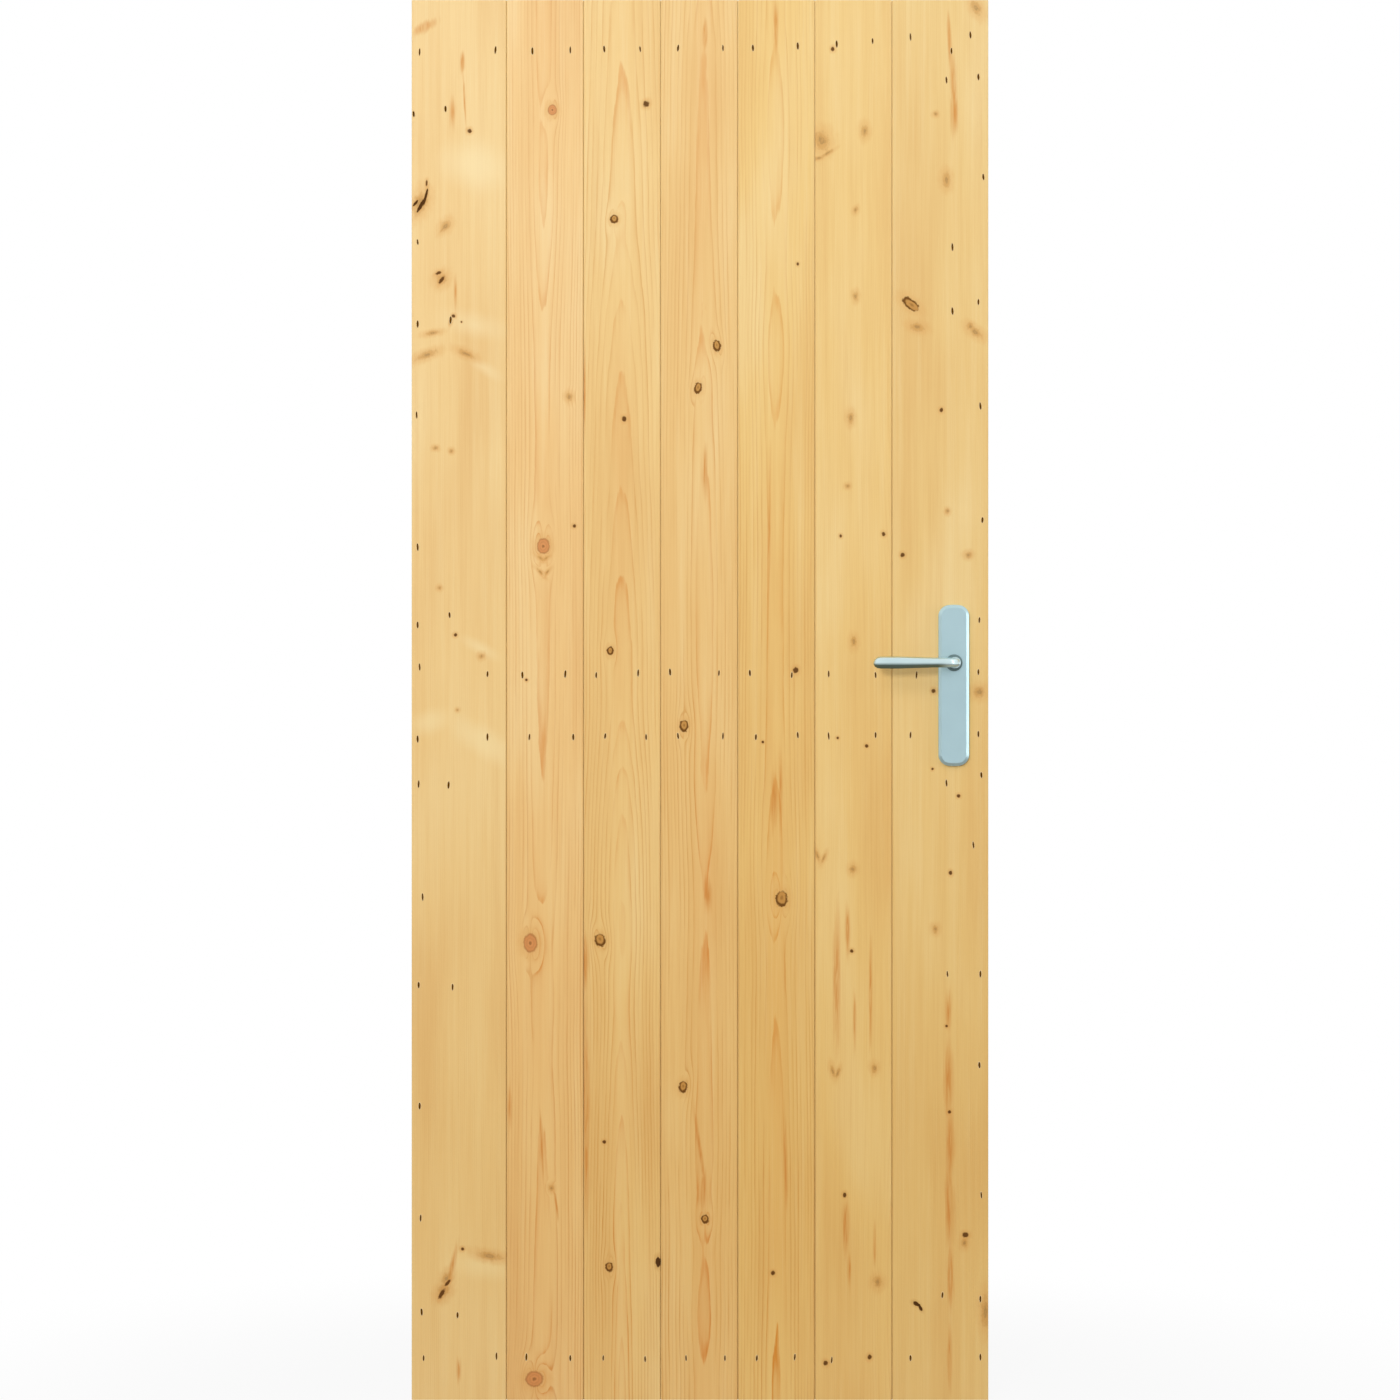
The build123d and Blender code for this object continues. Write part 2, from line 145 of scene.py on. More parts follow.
@dataclass
class Signal:
    """A shader socket that takes part in Python arithmetic, adding Math nodes as it goes."""

    tree: "ShaderTree"
    node: bpy.types.Node
    output: Union[str, int] = 0

    @property
    def socket(self) -> bpy.types.NodeSocket:
        """Returns the socket itself."""
        return self.node.outputs[self.output]

    def other(self, output: Union[str, int]) -> "Signal":
        """Returns another output of the same node."""
        return Signal(self.tree, self.node, output)

    __add__ = arithmetic("ADD")
    __radd__ = arithmetic("ADD", turned=True)
    __sub__ = arithmetic("SUBTRACT")
    __rsub__ = arithmetic("SUBTRACT", turned=True)
    __mul__ = arithmetic("MULTIPLY")
    __rmul__ = arithmetic("MULTIPLY", turned=True)
    __truediv__ = arithmetic("DIVIDE")
    __pow__ = arithmetic("POWER")


Operand = Union[Signal, float]


class ShaderTree:
    """The node tree of a material or a world, emptied, with methods that add to it."""

    def __init__(self, owner: Union[bpy.types.Material, bpy.types.World]) -> None:
        """Empties the owner's tree.

        Args:
            owner: The material or world.
        """
        self.owner = owner
        owner.use_nodes = True
        self.nodes = owner.node_tree.nodes
        self.links = owner.node_tree.links
        self.nodes.clear()

    def node(
        self,
        kind: str,
        sockets: Optional[Dict[Union[str, int], object]] = None,
        output: Union[str, int] = 0,
        stops: Optional[Sequence[Pair]] = None,
        curve: str = "LINEAR",
        **settings: object,
    ) -> Signal:
        """Adds a node.

        Args:
            kind: The node's type.
            sockets: Values or links for its inputs, by name or number.
            output: The output to return.
            stops: A colour ramp's stops, as places and greys.
            curve: How the ramp runs between its stops.
            **settings: The node's own settings, made before its sockets are filled.

        Returns:
            The chosen output.
        """
        made = self.nodes.new(kind)
        for name, value in settings.items():
            setattr(made, name, value)
        if stops is not None:
            made.color_ramp.interpolation = curve
            elements = made.color_ramp.elements
            while len(elements) < len(stops):
                elements.new(1.0)
            for element, (where, grey) in zip(elements, stops):
                element.position = where
                element.color = (grey, grey, grey, 1.0)
        for key, value in (sockets or {}).items():
            if isinstance(value, Signal):
                self.links.new(value.socket, made.inputs[key])
            else:
                made.inputs[key].default_value = value
        return Signal(self, made, output)

    def math(self, operation: str, *values: Operand) -> Signal:
        """Adds a Math node with one to three values."""
        return self.node("ShaderNodeMath", dict(enumerate(values)), operation=operation)

    def step(self, value: Operand, low: float, high: float) -> Signal:
        """Eases a value from 0 at low to 1 at high, which may be below low."""
        sockets = {"Value": value, "From Min": low, "From Max": high}
        return self.node("ShaderNodeMapRange", sockets, interpolation_type="SMOOTHSTEP")

    def noise(
        self,
        vector: Signal,
        scale: float,
        detail: float = 2.0,
        rough: float = 0.5,
        stretch: Optional[float] = None,
    ) -> Signal:
        """Adds a noise from 0 to 1.

        Args:
            vector: The place.
            scale: Cells to a unit.
            detail: Octaves.
            rough: How strong the finer octaves are.
            stretch: The scale along Z beside the others, under 1 for fibres.

        Returns:
            The noise.
        """
        if stretch is not None:
            vector = self.mapped(vector, scale=(1.0, 1.0, stretch))
        sockets = {"Vector": vector, "Scale": scale, "Detail": detail, "Roughness": rough}
        return self.node("ShaderNodeTexNoise", sockets)

    def mapped(
        self,
        vector: Signal,
        place: Point = (0.0, 0.0, 0.0),
        turn: Point = (0.0, 0.0, 0.0),
        scale: Point = (1.0, 1.0, 1.0),
    ) -> Signal:
        """Moves a place, turns it in radians and scales it."""
        sockets = {"Vector": vector, "Location": place, "Rotation": turn, "Scale": scale}
        return self.node("ShaderNodeMapping", sockets)

    def mix(self, first: object, second: object, share: Operand, blend: str = "MIX") -> Signal:
        """Lays the second colour over the first, as strongly as share says."""
        sockets = {0: share, 6: self._rgba(first), 7: self._rgba(second)}
        return self.node("ShaderNodeMix", sockets, output=2, data_type="RGBA", blend_type=blend)

    @staticmethod
    def _rgba(colour: object) -> object:
        """Adds the alpha that a colour socket needs."""
        return colour if isinstance(colour, Signal) else (*colour, 1.0)

    def position(self) -> Signal:
        """Returns the place on the object, in metres."""
        return self.node("ShaderNodeTexCoord", output="Object")

    def normal(self) -> Signal:
        """Returns the surface's direction, in the object's axes."""
        return self.node("ShaderNodeTexCoord", output="Normal")

    def dot(self, vector: Signal, direction: Vector) -> Signal:
        """Measures how far a vector runs along a direction."""
        sockets = {0: vector, 1: tuple(direction)}
        return self.node("ShaderNodeVectorMath", sockets, "Value", operation="DOT_PRODUCT")

    def axes(self, vector: Signal) -> Tuple[Signal, Signal, Signal]:
        """Splits a vector into its three parts."""
        x = self.node("ShaderNodeSeparateXYZ", {"Vector": vector}, output="X")
        return x, x.other("Y"), x.other("Z")

    def bump(self, height: Signal, distance: float) -> Signal:
        """Turns a height into a normal, where a height of 1 stands for the distance."""
        return self.node("ShaderNodeBump", {"Height": height, "Distance": distance})

    def finish(
        self,
        colour: Signal,
        roughness: Signal,
        normal: Signal,
        metallic: float = 0.0,
        specular: float = 0.5,
    ) -> bpy.types.Material:
        """Ends the tree in a surface shader.

        Args:
            colour: The surface's colour.
            roughness: Its roughness.
            normal: Its normal, with the bump.
            metallic: 1 for bare metal.
            specular: How much a surface that isn't metal mirrors.

        Returns:
            The material.
        """
        surface = {
            "Base Color": colour,
            "Roughness": roughness,
            "Normal": normal,
            "Metallic": metallic,
            "Specular IOR Level": specular,
        }
        shader = self.node("ShaderNodeBsdfPrincipled", surface)
        self.node("ShaderNodeOutputMaterial", {"Surface": shader})
        return self.owner


class KnotKind(Enum):
    """How a knot looks on the surface, in the order in which the kinds are painted.

    A ghost is a blurred smudge, a live knot is grown in, a ringed one has a dark rim, a pin knot is
    a dark dot and a shake is a dark tear.
    """

    GHOST = "ghost"
    LIVE = "live"
    RINGED = "ringed"
    PIN = "pin"
    SHAKE = "shake"


GHOST, LIVE, RINGED, PIN, SHAKE = KnotKind

# How strong the tint of the wood round a knot is.
KNOT_HALOS = {GHOST: 0.4, LIVE: 0.45, RINGED: 0.35, PIN: 0.5, SHAKE: 0.4}

# How dark a growth ring is, from its pale start to its dark end.
RING_PROFILE = ((0.0, 0.0), (0.5, 0.08), (0.76, 0.36), (0.9, 1.0), (0.96, 0.9), (1.0, 0.0))


@dataclass(frozen=True)
class Spot:
    """A knot, a streak of resin or reddened heartwood, or a patch of curled grain with a painted
    highlight.

    Its place, its size in pixels and its lean in degrees are the photograph's.
    """

    column: float
    row: float
    wide: float
    high: float
    lean: float = 0.0


def spots(*places: Sequence[float]) -> Tuple[Spot, ...]:
    """Makes spots from their column, row, width and height, and their lean where they have one."""
    return tuple(Spot(*place) for place in places)


class GrainRun(Enum):
    """Which way a piece's fibres run."""

    UPRIGHT = "upright"
    LEVEL = "level"


@dataclass(frozen=True)
class WoodFinish:
    """Varnished softwood: how one piece was sawn, and the colours of its rings.

    The rings are cylinders round the heart of the tree, which lies behind the surface, so where the
    heart comes nearer or goes deeper the rings run together into arches and points. The arches are
    pairs of a row in the photograph and the heart's depth there, counted in rings, so a ring comes
    to its point where the depth is a whole number.
    """

    heart_across: float
    name: str = "wood"
    heart_depth: float = 0.045
    depth_swing: float = 0.03
    swing_length: float = 0.9
    arches: Tuple[Pair, ...] = ()
    ring_width: float = 0.0034
    ring_contrast: float = 0.93
    waver: float = 0.8
    seed: float = 0.0
    early: Colour = linear(241, 205, 142)
    late: Colour = linear(214, 154, 84)
    heart_tint: Colour = linear(220, 142, 66)
    heart_width: float = 0.022
    surface: float = DOOR.front
    grain_run: GrainRun = GrainRun.UPRIGHT
    knots: Dict[KnotKind, Tuple[Spot, ...]] = field(default_factory=dict)
    resin_streaks: Tuple[Spot, ...] = ()
    curl_highlights: Tuple[Spot, ...] = ()
    rim_pixels: float = 3.4
    on_heart: float = 0.012
    swerve: float = 1.6
    swerve_reach: Pair = (1.3, 2.8)
    fibre_scale: float = 800.0
    strand_scale: float = 170.0
    band_scale: float = 50.0
    cloud_scale: float = 9.0
    relief: float = 0.25 * MILLIMETRE
    roughness: float = 0.46
    fibre_roughness: float = 0.16
    specular: float = 0.1
    live_knot: Colour = linear(222, 150, 94)
    dead_knot: Colour = linear(202, 149, 81)
    knot_dark: Colour = linear(82, 42, 2)
    knot_halo: Colour = linear(224, 168, 100)
    shake_dark: Colour = linear(66, 32, 0)
    resin: Colour = linear(212, 138, 62)
    # A pale tone of the fibres and clouds, also used for the painted highlight on curled grain.
    pale_tone_and_highlight: Colour = linear(252, 234, 186)
    # The pale colour painted into the V-grooves as light against their shade.
    groove_painted_light: Colour = linear(252, 222, 158)
    # Painted light: a darker shade towards the foot and a paler sheen towards the head, multiplied
    # over the wood.
    foot_shade_tint: Colour = (0.85, 0.77, 0.585)
    head_sheen_tint: Colour = (1.0, 1.02, 1.05)

    def build(self) -> bpy.types.Material:
        """Builds the wood's material."""
        return WoodShader(self).build()


class WoodShader:
    """The shader of one piece of wood: its rings, fibres, curls with painted highlights, resin and
    knots, and painted light by height.
    """

    def __init__(self, wood: WoodFinish) -> None:
        """Finds the place on the piece, the place along its fibres and the nearest knots.

        Args:
            wood: The finish.
        """
        self.wood = wood
        self.tree = ShaderTree(bpy.data.materials.new(wood.name))
        self.place = self.tree.position()
        self.x, self.y, self.z = self.tree.axes(self.place)
        shift = (wood.seed, wood.seed * 0.37, wood.seed * 1.9)
        turn = math.pi / 2 if wood.grain_run is GrainRun.LEVEL else 0.0
        self.along = self.tree.mapped(self.place, shift, (0.0, turn, 0.0))
        self.reaches = {
            kind: self._nearness(wood.knots[kind]) for kind in KnotKind if kind in wood.knots
        }

    def build(self) -> bpy.types.Material:
        """Lays the rings, the fibres and the marks over the bare wood.

        Returns:
            The material.
        """
        wood, tree = self.wood, self.tree
        fibres = tree.noise(self.along, wood.fibre_scale, stretch=0.014)
        strands = tree.noise(self.along, wood.strand_scale, stretch=0.02)
        bands = tree.noise(self.along, wood.band_scale, 3.0, stretch=0.03)
        cloud = tree.noise(self.along, wood.cloud_scale, stretch=0.25)
        rings, across = self._rings()
        heart = tree.step(tree.math("ABSOLUTE", across), wood.heart_width, 0.0)
        late = tree.mix(wood.late, wood.heart_tint, heart)
        colour = tree.mix(wood.early, late, 0.22 * tree.step(cloud, 0.45, 0.75))
        colour = tree.mix(colour, wood.pale_tone_and_highlight, 0.25 * tree.step(cloud, 0.5, 0.25))
        colour = tree.mix(colour, late, rings * wood.ring_contrast)
        grained = 0.34 * (fibres - 0.5) + 0.4 * (strands - 0.5) + 0.5 * (bands - 0.5)
        colour = tree.mix(colour, wood.late, tree.math("MAXIMUM", grained, 0.0))
        colour = tree.mix(colour, wood.pale_tone_and_highlight, tree.math("MAXIMUM", -1.0 * grained, 0.0))
        # Painted light: the walls of the V-grooves are lightened against their shade, more towards
        # the head.
        if wood.surface < DOOR.back:
            groove_light_mask = tree.step(self.y, DOOR.front, DOOR.front + MILLIMETRE)
            share = groove_light_mask * (0.45 + 0.35 * (self.z / DOOR.height))
            colour = tree.mix(colour, wood.groove_painted_light, share)
        # Painted highlight: a pale shimmer laid on the patches of curled grain.
        if wood.curl_highlights:
            reach = self._nearness(wood.curl_highlights) + 1.5 * (cloud - 0.5)
            colour = tree.mix(colour, wood.pale_tone_and_highlight, 0.42 * tree.step(reach, 1.4, 0.0))
        if wood.resin_streaks:
            colour = self._add_resin(colour, strands)
        height = 0.35 * rings + 0.3 * fibres
        if self.reaches:
            colour, height = self._add_knots(colour, height)
        rough = wood.roughness + wood.fibre_roughness * fibres
        normal = tree.bump(height, wood.relief)
        return tree.finish(self._age(colour), rough, normal, specular=wood.specular)

    def _heart_depth(self) -> Signal:
        """Works out how deep the heart lies under the surface.

        Returns:
            The depth.
        """
        wood, tree = self.wood, self.tree
        if not wood.arches:
            stretched = tree.mapped(self.along, scale=(0.0, 0.0, 1.0 / wood.swing_length))
            swing = tree.noise(stretched, 1.0, 1.5)
            return wood.heart_depth + 2.0 * wood.depth_swing * (swing - 0.5)
        deepest = max(deep for _, deep in wood.arches)
        stops = [(PHOTO.up(row) / DOOR.height, deep / deepest) for row, deep in wood.arches[::-1]]
        up = {"Fac": self.z / DOOR.height}
        curve = tree.node("ShaderNodeValToRGB", up, stops=stops, curve="CARDINAL")
        return curve * (deepest * wood.ring_width)

    def _rings(self) -> Tuple[Signal, Signal]:
        """Works out the growth rings.

        Returns:
            How dark the ring is, from 0 to 1, and the distance from the heart line.
        """
        wood, tree, along = self.wood, self.tree, self.along
        side = self.z if wood.grain_run is GrainRun.LEVEL else self.x
        sway = tree.noise(tree.mapped(along, scale=(6.0, 6.0, 1.4)), 1.0)
        across = side - wood.heart_across + 0.008 * (sway - 0.5)
        depth = tree.math("ABSOLUTE", self.y - wood.surface) + self._heart_depth()
        radius = (across * across + depth * depth) ** 0.5
        rough = tree.noise(along, 45.0, stretch=0.06)
        wavy = tree.noise(along, 130.0, 3.0, 0.6, stretch=0.1)
        phase = radius / wood.ring_width + wood.waver * (rough - 0.5) + 0.35 * (wavy - 0.5)
        phase = phase + self._swerve()
        turn = {"Fac": tree.math("FRACT", phase)}
        ring = tree.node("ShaderNodeValToRGB", turn, stops=RING_PROFILE)
        year = {"W": tree.math("FLOOR", phase)}
        vigour = tree.node("ShaderNodeTexWhiteNoise", year, noise_dimensions="1D")
        fading = tree.noise(along, 60.0, 3.0, 0.6, stretch=0.06)
        clear = (0.3 + 0.7 * vigour) * tree.step(fading, 0.3, 0.65)
        return ring * clear * (1.25 - 0.6 * (self.z / DOOR.height)), across

    def _offsets(self, spot: Spot, grown: Pair = (1.0, 1.0)) -> Tuple[Signal, Signal]:
        """Works out how far a place lies across and above a spot, in the spot's own radii.

        Args:
            spot: The spot.
            grown: How much wider and higher than the spot the shape is.

        Returns:
            The distances across and up.
        """
        lean = math.radians(spot.lean)
        centre = Vector((PHOTO.across(spot.column), 0.0, PHOTO.up(spot.row)))
        upward = Vector((math.sin(lean), 0.0, math.cos(lean)))
        sideways = Vector((math.cos(lean), 0.0, -math.sin(lean)))
        upward /= PHOTO.size(spot.high) / 2 * grown[1]
        sideways /= PHOTO.size(spot.wide) / 2 * grown[0]
        across = self.tree.dot(self.place, sideways) - sideways.dot(centre)
        return across, self.tree.dot(self.place, upward) - upward.dot(centre)

    def _nearness(self, chosen: Sequence[Spot], lifted: float = 0.0) -> Signal:
        """Works out the distance to the nearest spot, in that spot's own radii.

        Args:
            chosen: The spots.
            lifted: How far the shape stands above the spots, in its own radii.

        Returns:
            The distance, which is 1 on a spot's rim.
        """
        nearest: Optional[Signal] = None
        for spot in chosen:
            across, up = self._offsets(spot)
            up = up - lifted
            squared = across * across + up * up
            nearest = squared if nearest is None else self.tree.math("MINIMUM", nearest, squared)
        return nearest ** 0.5

    def _swerve(self) -> Operand:
        """Works out how far the rings are pushed aside round the knots, in rings.

        Returns:
            The push, which is 0 where no knot is near.
        """
        wood, tree = self.wood, self.tree
        pushed: Operand = 0.0
        for knot in (*wood.knots.get(LIVE, ()), *wood.knots.get(RINGED, ())):
            across, up = self._offsets(knot, wood.swerve_reach)
            fall = (across * across + up * up + 1.0) ** -2.0
            off_heart = PHOTO.across(knot.column) - wood.heart_across
            if abs(off_heart) < wood.on_heart:
                outward = tree.math("ABSOLUTE", across)
            else:
                outward = across * math.copysign(1.0, off_heart)
            share = wood.swerve * PHOTO.size(knot.wide) / wood.ring_width
            pushed = outward * fall * -share + pushed
        for kind in (GHOST, SHAKE):
            if kind in self.reaches:
                pushed = 0.6 * tree.step(self.reaches[kind], 3.0, 0.4) + pushed
        return pushed

    def _add_knots(self, colour: Signal, height: Signal) -> Tuple[Signal, Signal]:
        """Paints the knots, kind by kind.

        Args:
            colour: The wood's colour.
            height: The wood's height.

        Returns:
            The new colour and height.
        """
        wood, tree = self.wood, self.tree
        ragged = tree.noise(self.place, 280.0, 3.0, 0.6) - 0.5
        blurred = tree.noise(self.place, 150.0, 3.0, 0.6, stretch=0.5) - 0.5
        for kind, bare in self.reaches.items():
            reach = bare + 0.8 * ragged
            inside = tree.step(reach, 1.12, 0.86)
            tint = wood.dead_knot if kind is SHAKE else wood.knot_halo
            halo = tree.step(bare + 1.6 * blurred, 2.4, 0.8)
            colour = tree.mix(colour, tint, KNOT_HALOS[kind] * halo)
            if kind is GHOST:
                strokes = tree.step(tree.math("SINE", bare * 8.0 + 9.0 * blurred), 0.2, 0.9)
                core = tree.step(bare + 1.2 * ragged, 0.5, 0.2)
                patch = tree.step(bare + 1.1 * blurred + 0.8 * ragged, 1.1, 0.5)
                body = tree.mix(wood.dead_knot, wood.knot_dark, 0.25 * strokes + 0.4 * core)
                colour = tree.mix(colour, body, 0.54 * patch)
            elif kind is LIVE:
                smooth = bare + 0.35 * ragged
                year = 0.5 + 0.5 * tree.math("SINE", smooth * 15.0)
                core = tree.step(smooth, 0.3, 0.05)
                rim = tree.step(smooth, 0.6, 0.95)
                dark = 0.16 * year + 0.5 * core + 0.26 * rim
                body = tree.mix(wood.live_knot, wood.knot_dark, dark)
                colour = tree.mix(colour, body, 0.88 * tree.step(smooth, 1.12, 0.85))
            elif kind is RINGED:
                rims = wood.rim_pixels
                cores = [
                    replace(knot, wide=knot.wide - rims, high=knot.high - rims)
                    for knot in wood.knots[kind]
                ]
                hollow = self._nearness(cores, lifted=0.2) + 0.6 * ragged
                rim = tree.step(hollow, 0.75, 1.15)
                speck = tree.step(hollow, 0.5, 0.15)
                body = tree.mix(wood.dead_knot, wood.knot_dark, 0.35 * speck + 0.82 * rim)
                colour = tree.mix(colour, body, inside)
                height = height - 0.8 * (inside * rim)
            elif kind is PIN:
                colour = tree.mix(colour, wood.knot_dark, 0.9 * tree.step(reach, 1.1, 0.6))
                height = height - 0.5 * inside
            else:
                colour = tree.mix(colour, wood.shake_dark, 0.95 * inside)
                height = height - 0.8 * inside
        return colour, height

    def _add_resin(self, colour: Signal, strands: Signal) -> Signal:
        """Paints streaks of resin, whose edges follow the fibres.

        Args:
            colour: The wood's colour.
            strands: The noise of the fibres.

        Returns:
            The new colour.
        """
        wavy = self.tree.noise(self.place, 420.0, stretch=0.05)
        reach = self._nearness(self.wood.resin_streaks)
        reach = reach + 1.6 * (wavy - 0.5) + 0.9 * (strands - 0.5)
        soaked = self.tree.step(reach, 1.2, 0.2)
        share = soaked * (0.34 + 0.5 * self.tree.step(wavy, 0.35, 0.62))
        return self.tree.mix(colour, self.wood.resin, share)

    def _age(self, colour: Signal) -> Signal:
        """Paints shade towards the foot and a paler sheen towards the head, and darkens sawn ends.

        Args:
            colour: The wood's colour.

        Returns:
            The new colour.
        """
        wood, tree = self.wood, self.tree
        # Painted light: shade that deepens towards the foot and sheen towards the head, eased near
        # the floor.
        lit_tint = tree.mix(wood.foot_shade_tint, wood.head_sheen_tint, self.z / DOOR.height)
        lit_tint = tree.mix(lit_tint, wood.head_sheen_tint, 0.5 * tree.step(self.z, 0.4, -0.2))
        colour = tree.mix(colour, lit_tint, 1.0, "MULTIPLY")
        if wood.grain_run is GrainRun.LEVEL:
            return colour
        _, _, upward = tree.axes(tree.normal())
        sawn = tree.step(tree.math("ABSOLUTE", upward), 0.7, 0.95)
        return tree.mix(colour, wood.knot_halo, 0.5 * sawn)


@dataclass(frozen=True)
class MetalFinish:
    """Metal with fine brushing and slight clouding, and where asked painted shade on the underside of
    a grip.

    Left of grip_end, what lies below a set height is painted darker, as the shade and dark reflection
    under the grip.
    """

    name: str
    colour: Colour
    shade: Colour
    roughness: float = 0.34
    metallic: float = 1.0
    brushing: Point = (40.0, 40.0, 1500.0)
    brush_depth: float = 0.02 * MILLIMETRE
    brush_roughness: float = 0.08
    cloud_scale: float = 26.0
    cloud_share: float = 0.7
    cloud_roughness: float = 0.12
    underside_shade_share: float = 0.0
    underside_shade_top: float = 0.0
    underside_shade_depth: float = 5.5 * MILLIMETRE
    grip_end: float = 0.0
    grip_ease: float = 20 * MILLIMETRE
    underside_shade_colour: Colour = linear(84, 106, 98)

    def build(self) -> bpy.types.Material:
        """Builds the metal's material.

        Returns:
            The material.
        """
        tree = ShaderTree(bpy.data.materials.new(self.name))
        place = tree.position()
        brushed = tree.noise(tree.mapped(place, scale=self.brushing), 1.0)
        cloud = tree.noise(place, self.cloud_scale, 3.0)
        colour = tree.mix(self.colour, self.shade, self.cloud_share * cloud)
        # Painted shade: the grip's underside is darkened, as the shade and dark reflection below it.
        if self.underside_shade_share:
            x, _, z = tree.axes(place)
            reach = tree.step(x, self.grip_end, self.grip_end - self.grip_ease)
            shaded = tree.step(z, self.underside_shade_top, self.underside_shade_top - self.underside_shade_depth)
            colour = tree.mix(colour, self.underside_shade_colour, self.underside_shade_share * (shaded * reach))
        rough = self.roughness + self.cloud_roughness * (cloud - 0.5)
        rough = rough + self.brush_roughness * (brushed - 0.5)
        normal = tree.bump(brushed, self.brush_depth)
        return tree.finish(colour, rough, normal, metallic=self.metallic)


@dataclass(frozen=True)
class GrainedFinish:
    """A dull finish with one fine grain: moulded plastic, torn wood or the inside of a hole."""

    name: str
    colour: Colour
    shade: Colour
    tint_scale: float = 1100.0
    grain_scale: float = 1100.0
    stretch: float = 1.0
    roughness: float = 0.8
    roughness_swing: float = 0.1
    relief: float = 0.0001
    specular: float = 0.5

    def build(self) -> bpy.types.Material:
        """Builds the material.

        Returns:
            The material.
        """
        tree = ShaderTree(bpy.data.materials.new(self.name))
        tint = tree.noise(tree.position(), self.tint_scale, stretch=self.stretch)
        grain = tree.noise(tree.position(), self.grain_scale, stretch=self.stretch)
        colour = tree.mix(self.colour, self.shade, tint)
        rough = self.roughness + self.roughness_swing * grain
        return tree.finish(colour, rough, tree.bump(grain, self.relief), specular=self.specular)


def shaded_hole_finish(name: str, colour: Colour) -> GrainedFinish:
    """Returns the finish of the inside of a small hole, painted dark as its shade, which mirrors
    nothing.
    """
    return GrainedFinish(name, colour, tuple(channel * 0.4 for channel in colour), specular=0.0)


def select_only(piece: bpy.types.Object) -> None:
    """Selects one object, makes it active and deselects all others.

    Args:
        piece: The object.
    """
    bpy.ops.object.select_all(action="DESELECT")
    piece.select_set(True)
    bpy.context.view_layer.objects.active = piece


def settle(piece: bpy.types.Object) -> None:
    """Moves an object's place, turn and size into its mesh."""
    select_only(piece)
    bpy.ops.object.transform_apply(location=True, rotation=True, scale=True)


def hand_over(piece: bpy.types.Object, body: str, slot: str) -> bpy.types.Object:
    """Hangs a finished piece on its body and logs it.

    Args:
        piece: The piece.
        body: The body that it moves with.
        slot: The material slot; not used.

    Returns:
        The piece.
    """
    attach(piece, body)
    log.info("%s: %d faces, rides on %s", piece.name, len(piece.data.polygons), body)
    return piece


def dress_node(node: str, material: bpy.types.Material) -> None:
    """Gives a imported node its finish.

    Args:
        node: The node's name.
        material: The finish.
    """
    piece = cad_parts[node]
    piece.data.materials.clear()
    piece.data.materials.append(material)
    log.info("%s: finished with %s", node, material.name)


@dataclass
class SoftenedNode:
    """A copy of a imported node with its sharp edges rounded, which stands for that node."""

    node: str
    body: str
    slot: str
    edge_radius: float = 0.5 * MILLIMETRE
    segments: int = 2
    sharp_angle: float = 24.0
    smooth_angle: float = 36.0
    flat_angle: float = 0.5
    flat_weight: int = 100
    merge_distance: float = 0.004 * MILLIMETRE

    def build(self, material: bpy.types.Material) -> bpy.types.Object:
        """Builds the copy.

        Args:
            material: Its finish.

        Returns:
            The piece.
        """
        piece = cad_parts[self.node].copy()
        piece.data = piece.data.copy()
        piece.name = f"{self.node}_softened"
        piece.parent = None
        for key in list(piece.keys()):
            del piece[key]
        bpy.context.scene.collection.objects.link(piece)
        select_only(piece)
        bpy.ops.object.mode_set(mode="EDIT")
        bpy.ops.mesh.select_all(action="SELECT")
        bpy.ops.mesh.remove_doubles(threshold=self.merge_distance)
        bpy.ops.mesh.dissolve_limited(angle_limit=math.radians(self.flat_angle))
        bpy.ops.object.mode_set(mode="OBJECT")
        if self.edge_radius > 0:
            bevel = piece.modifiers.new("edges", "BEVEL")
            bevel.width = self.edge_radius
            bevel.segments = self.segments
            bevel.limit_method = "ANGLE"
            bevel.angle_limit = math.radians(self.sharp_angle)
            bevel.use_clamp_overlap = True
            bpy.ops.object.modifier_apply(modifier=bevel.name)
        bpy.ops.object.shade_smooth_by_angle(angle=math.radians(self.smooth_angle))
        if self.edge_radius > 0:
            weighted = piece.modifiers.new("flats", "WEIGHTED_NORMAL")
            weighted.keep_sharp = True
            weighted.weight = self.flat_weight
            bpy.ops.object.modifier_apply(modifier=weighted.name)
        piece.data.materials.clear()
        piece.data.materials.append(material)
        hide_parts(self.node)
        return hand_over(piece, self.body, self.slot)


def press_face(
    corners: int,
    radius: float,
    place: Point,
    turn: Point,
    size: Point,
    finishes: Finishes,
    steps: Steps,
) -> bpy.types.Object:
    """Models a flat round face and insets it in steps.

    Args:
        corners: The corners of its outline.
        radius: Its radius.
        place: Its centre.
        turn: How it is turned.
        size: How it is stretched.
        finishes: Its finishes, from the outside in.
        steps: Each step's width and rise, and the number of the finish inside it.

    Returns:
        The face.
    """
    bpy.ops.object.select_all(action="DESELECT")
    bpy.ops.mesh.primitive_circle_add(
        vertices=corners, radius=radius, fill_type="NGON", location=place, rotation=turn
    )
    piece = bpy.context.view_layer.objects.active
    piece.scale = size
    settle(piece)
    for finish in finishes:
        piece.data.materials.append(finish)
    bpy.ops.object.mode_set(mode="EDIT")
    bpy.ops.mesh.select_all(action="SELECT")
    for width, rise, finish_number in steps:
        bpy.ops.mesh.inset(thickness=width, depth=rise)
        piece.active_material_index = finish_number
        bpy.ops.object.material_slot_assign()
    bpy.ops.object.mode_set(mode="OBJECT")
    return piece


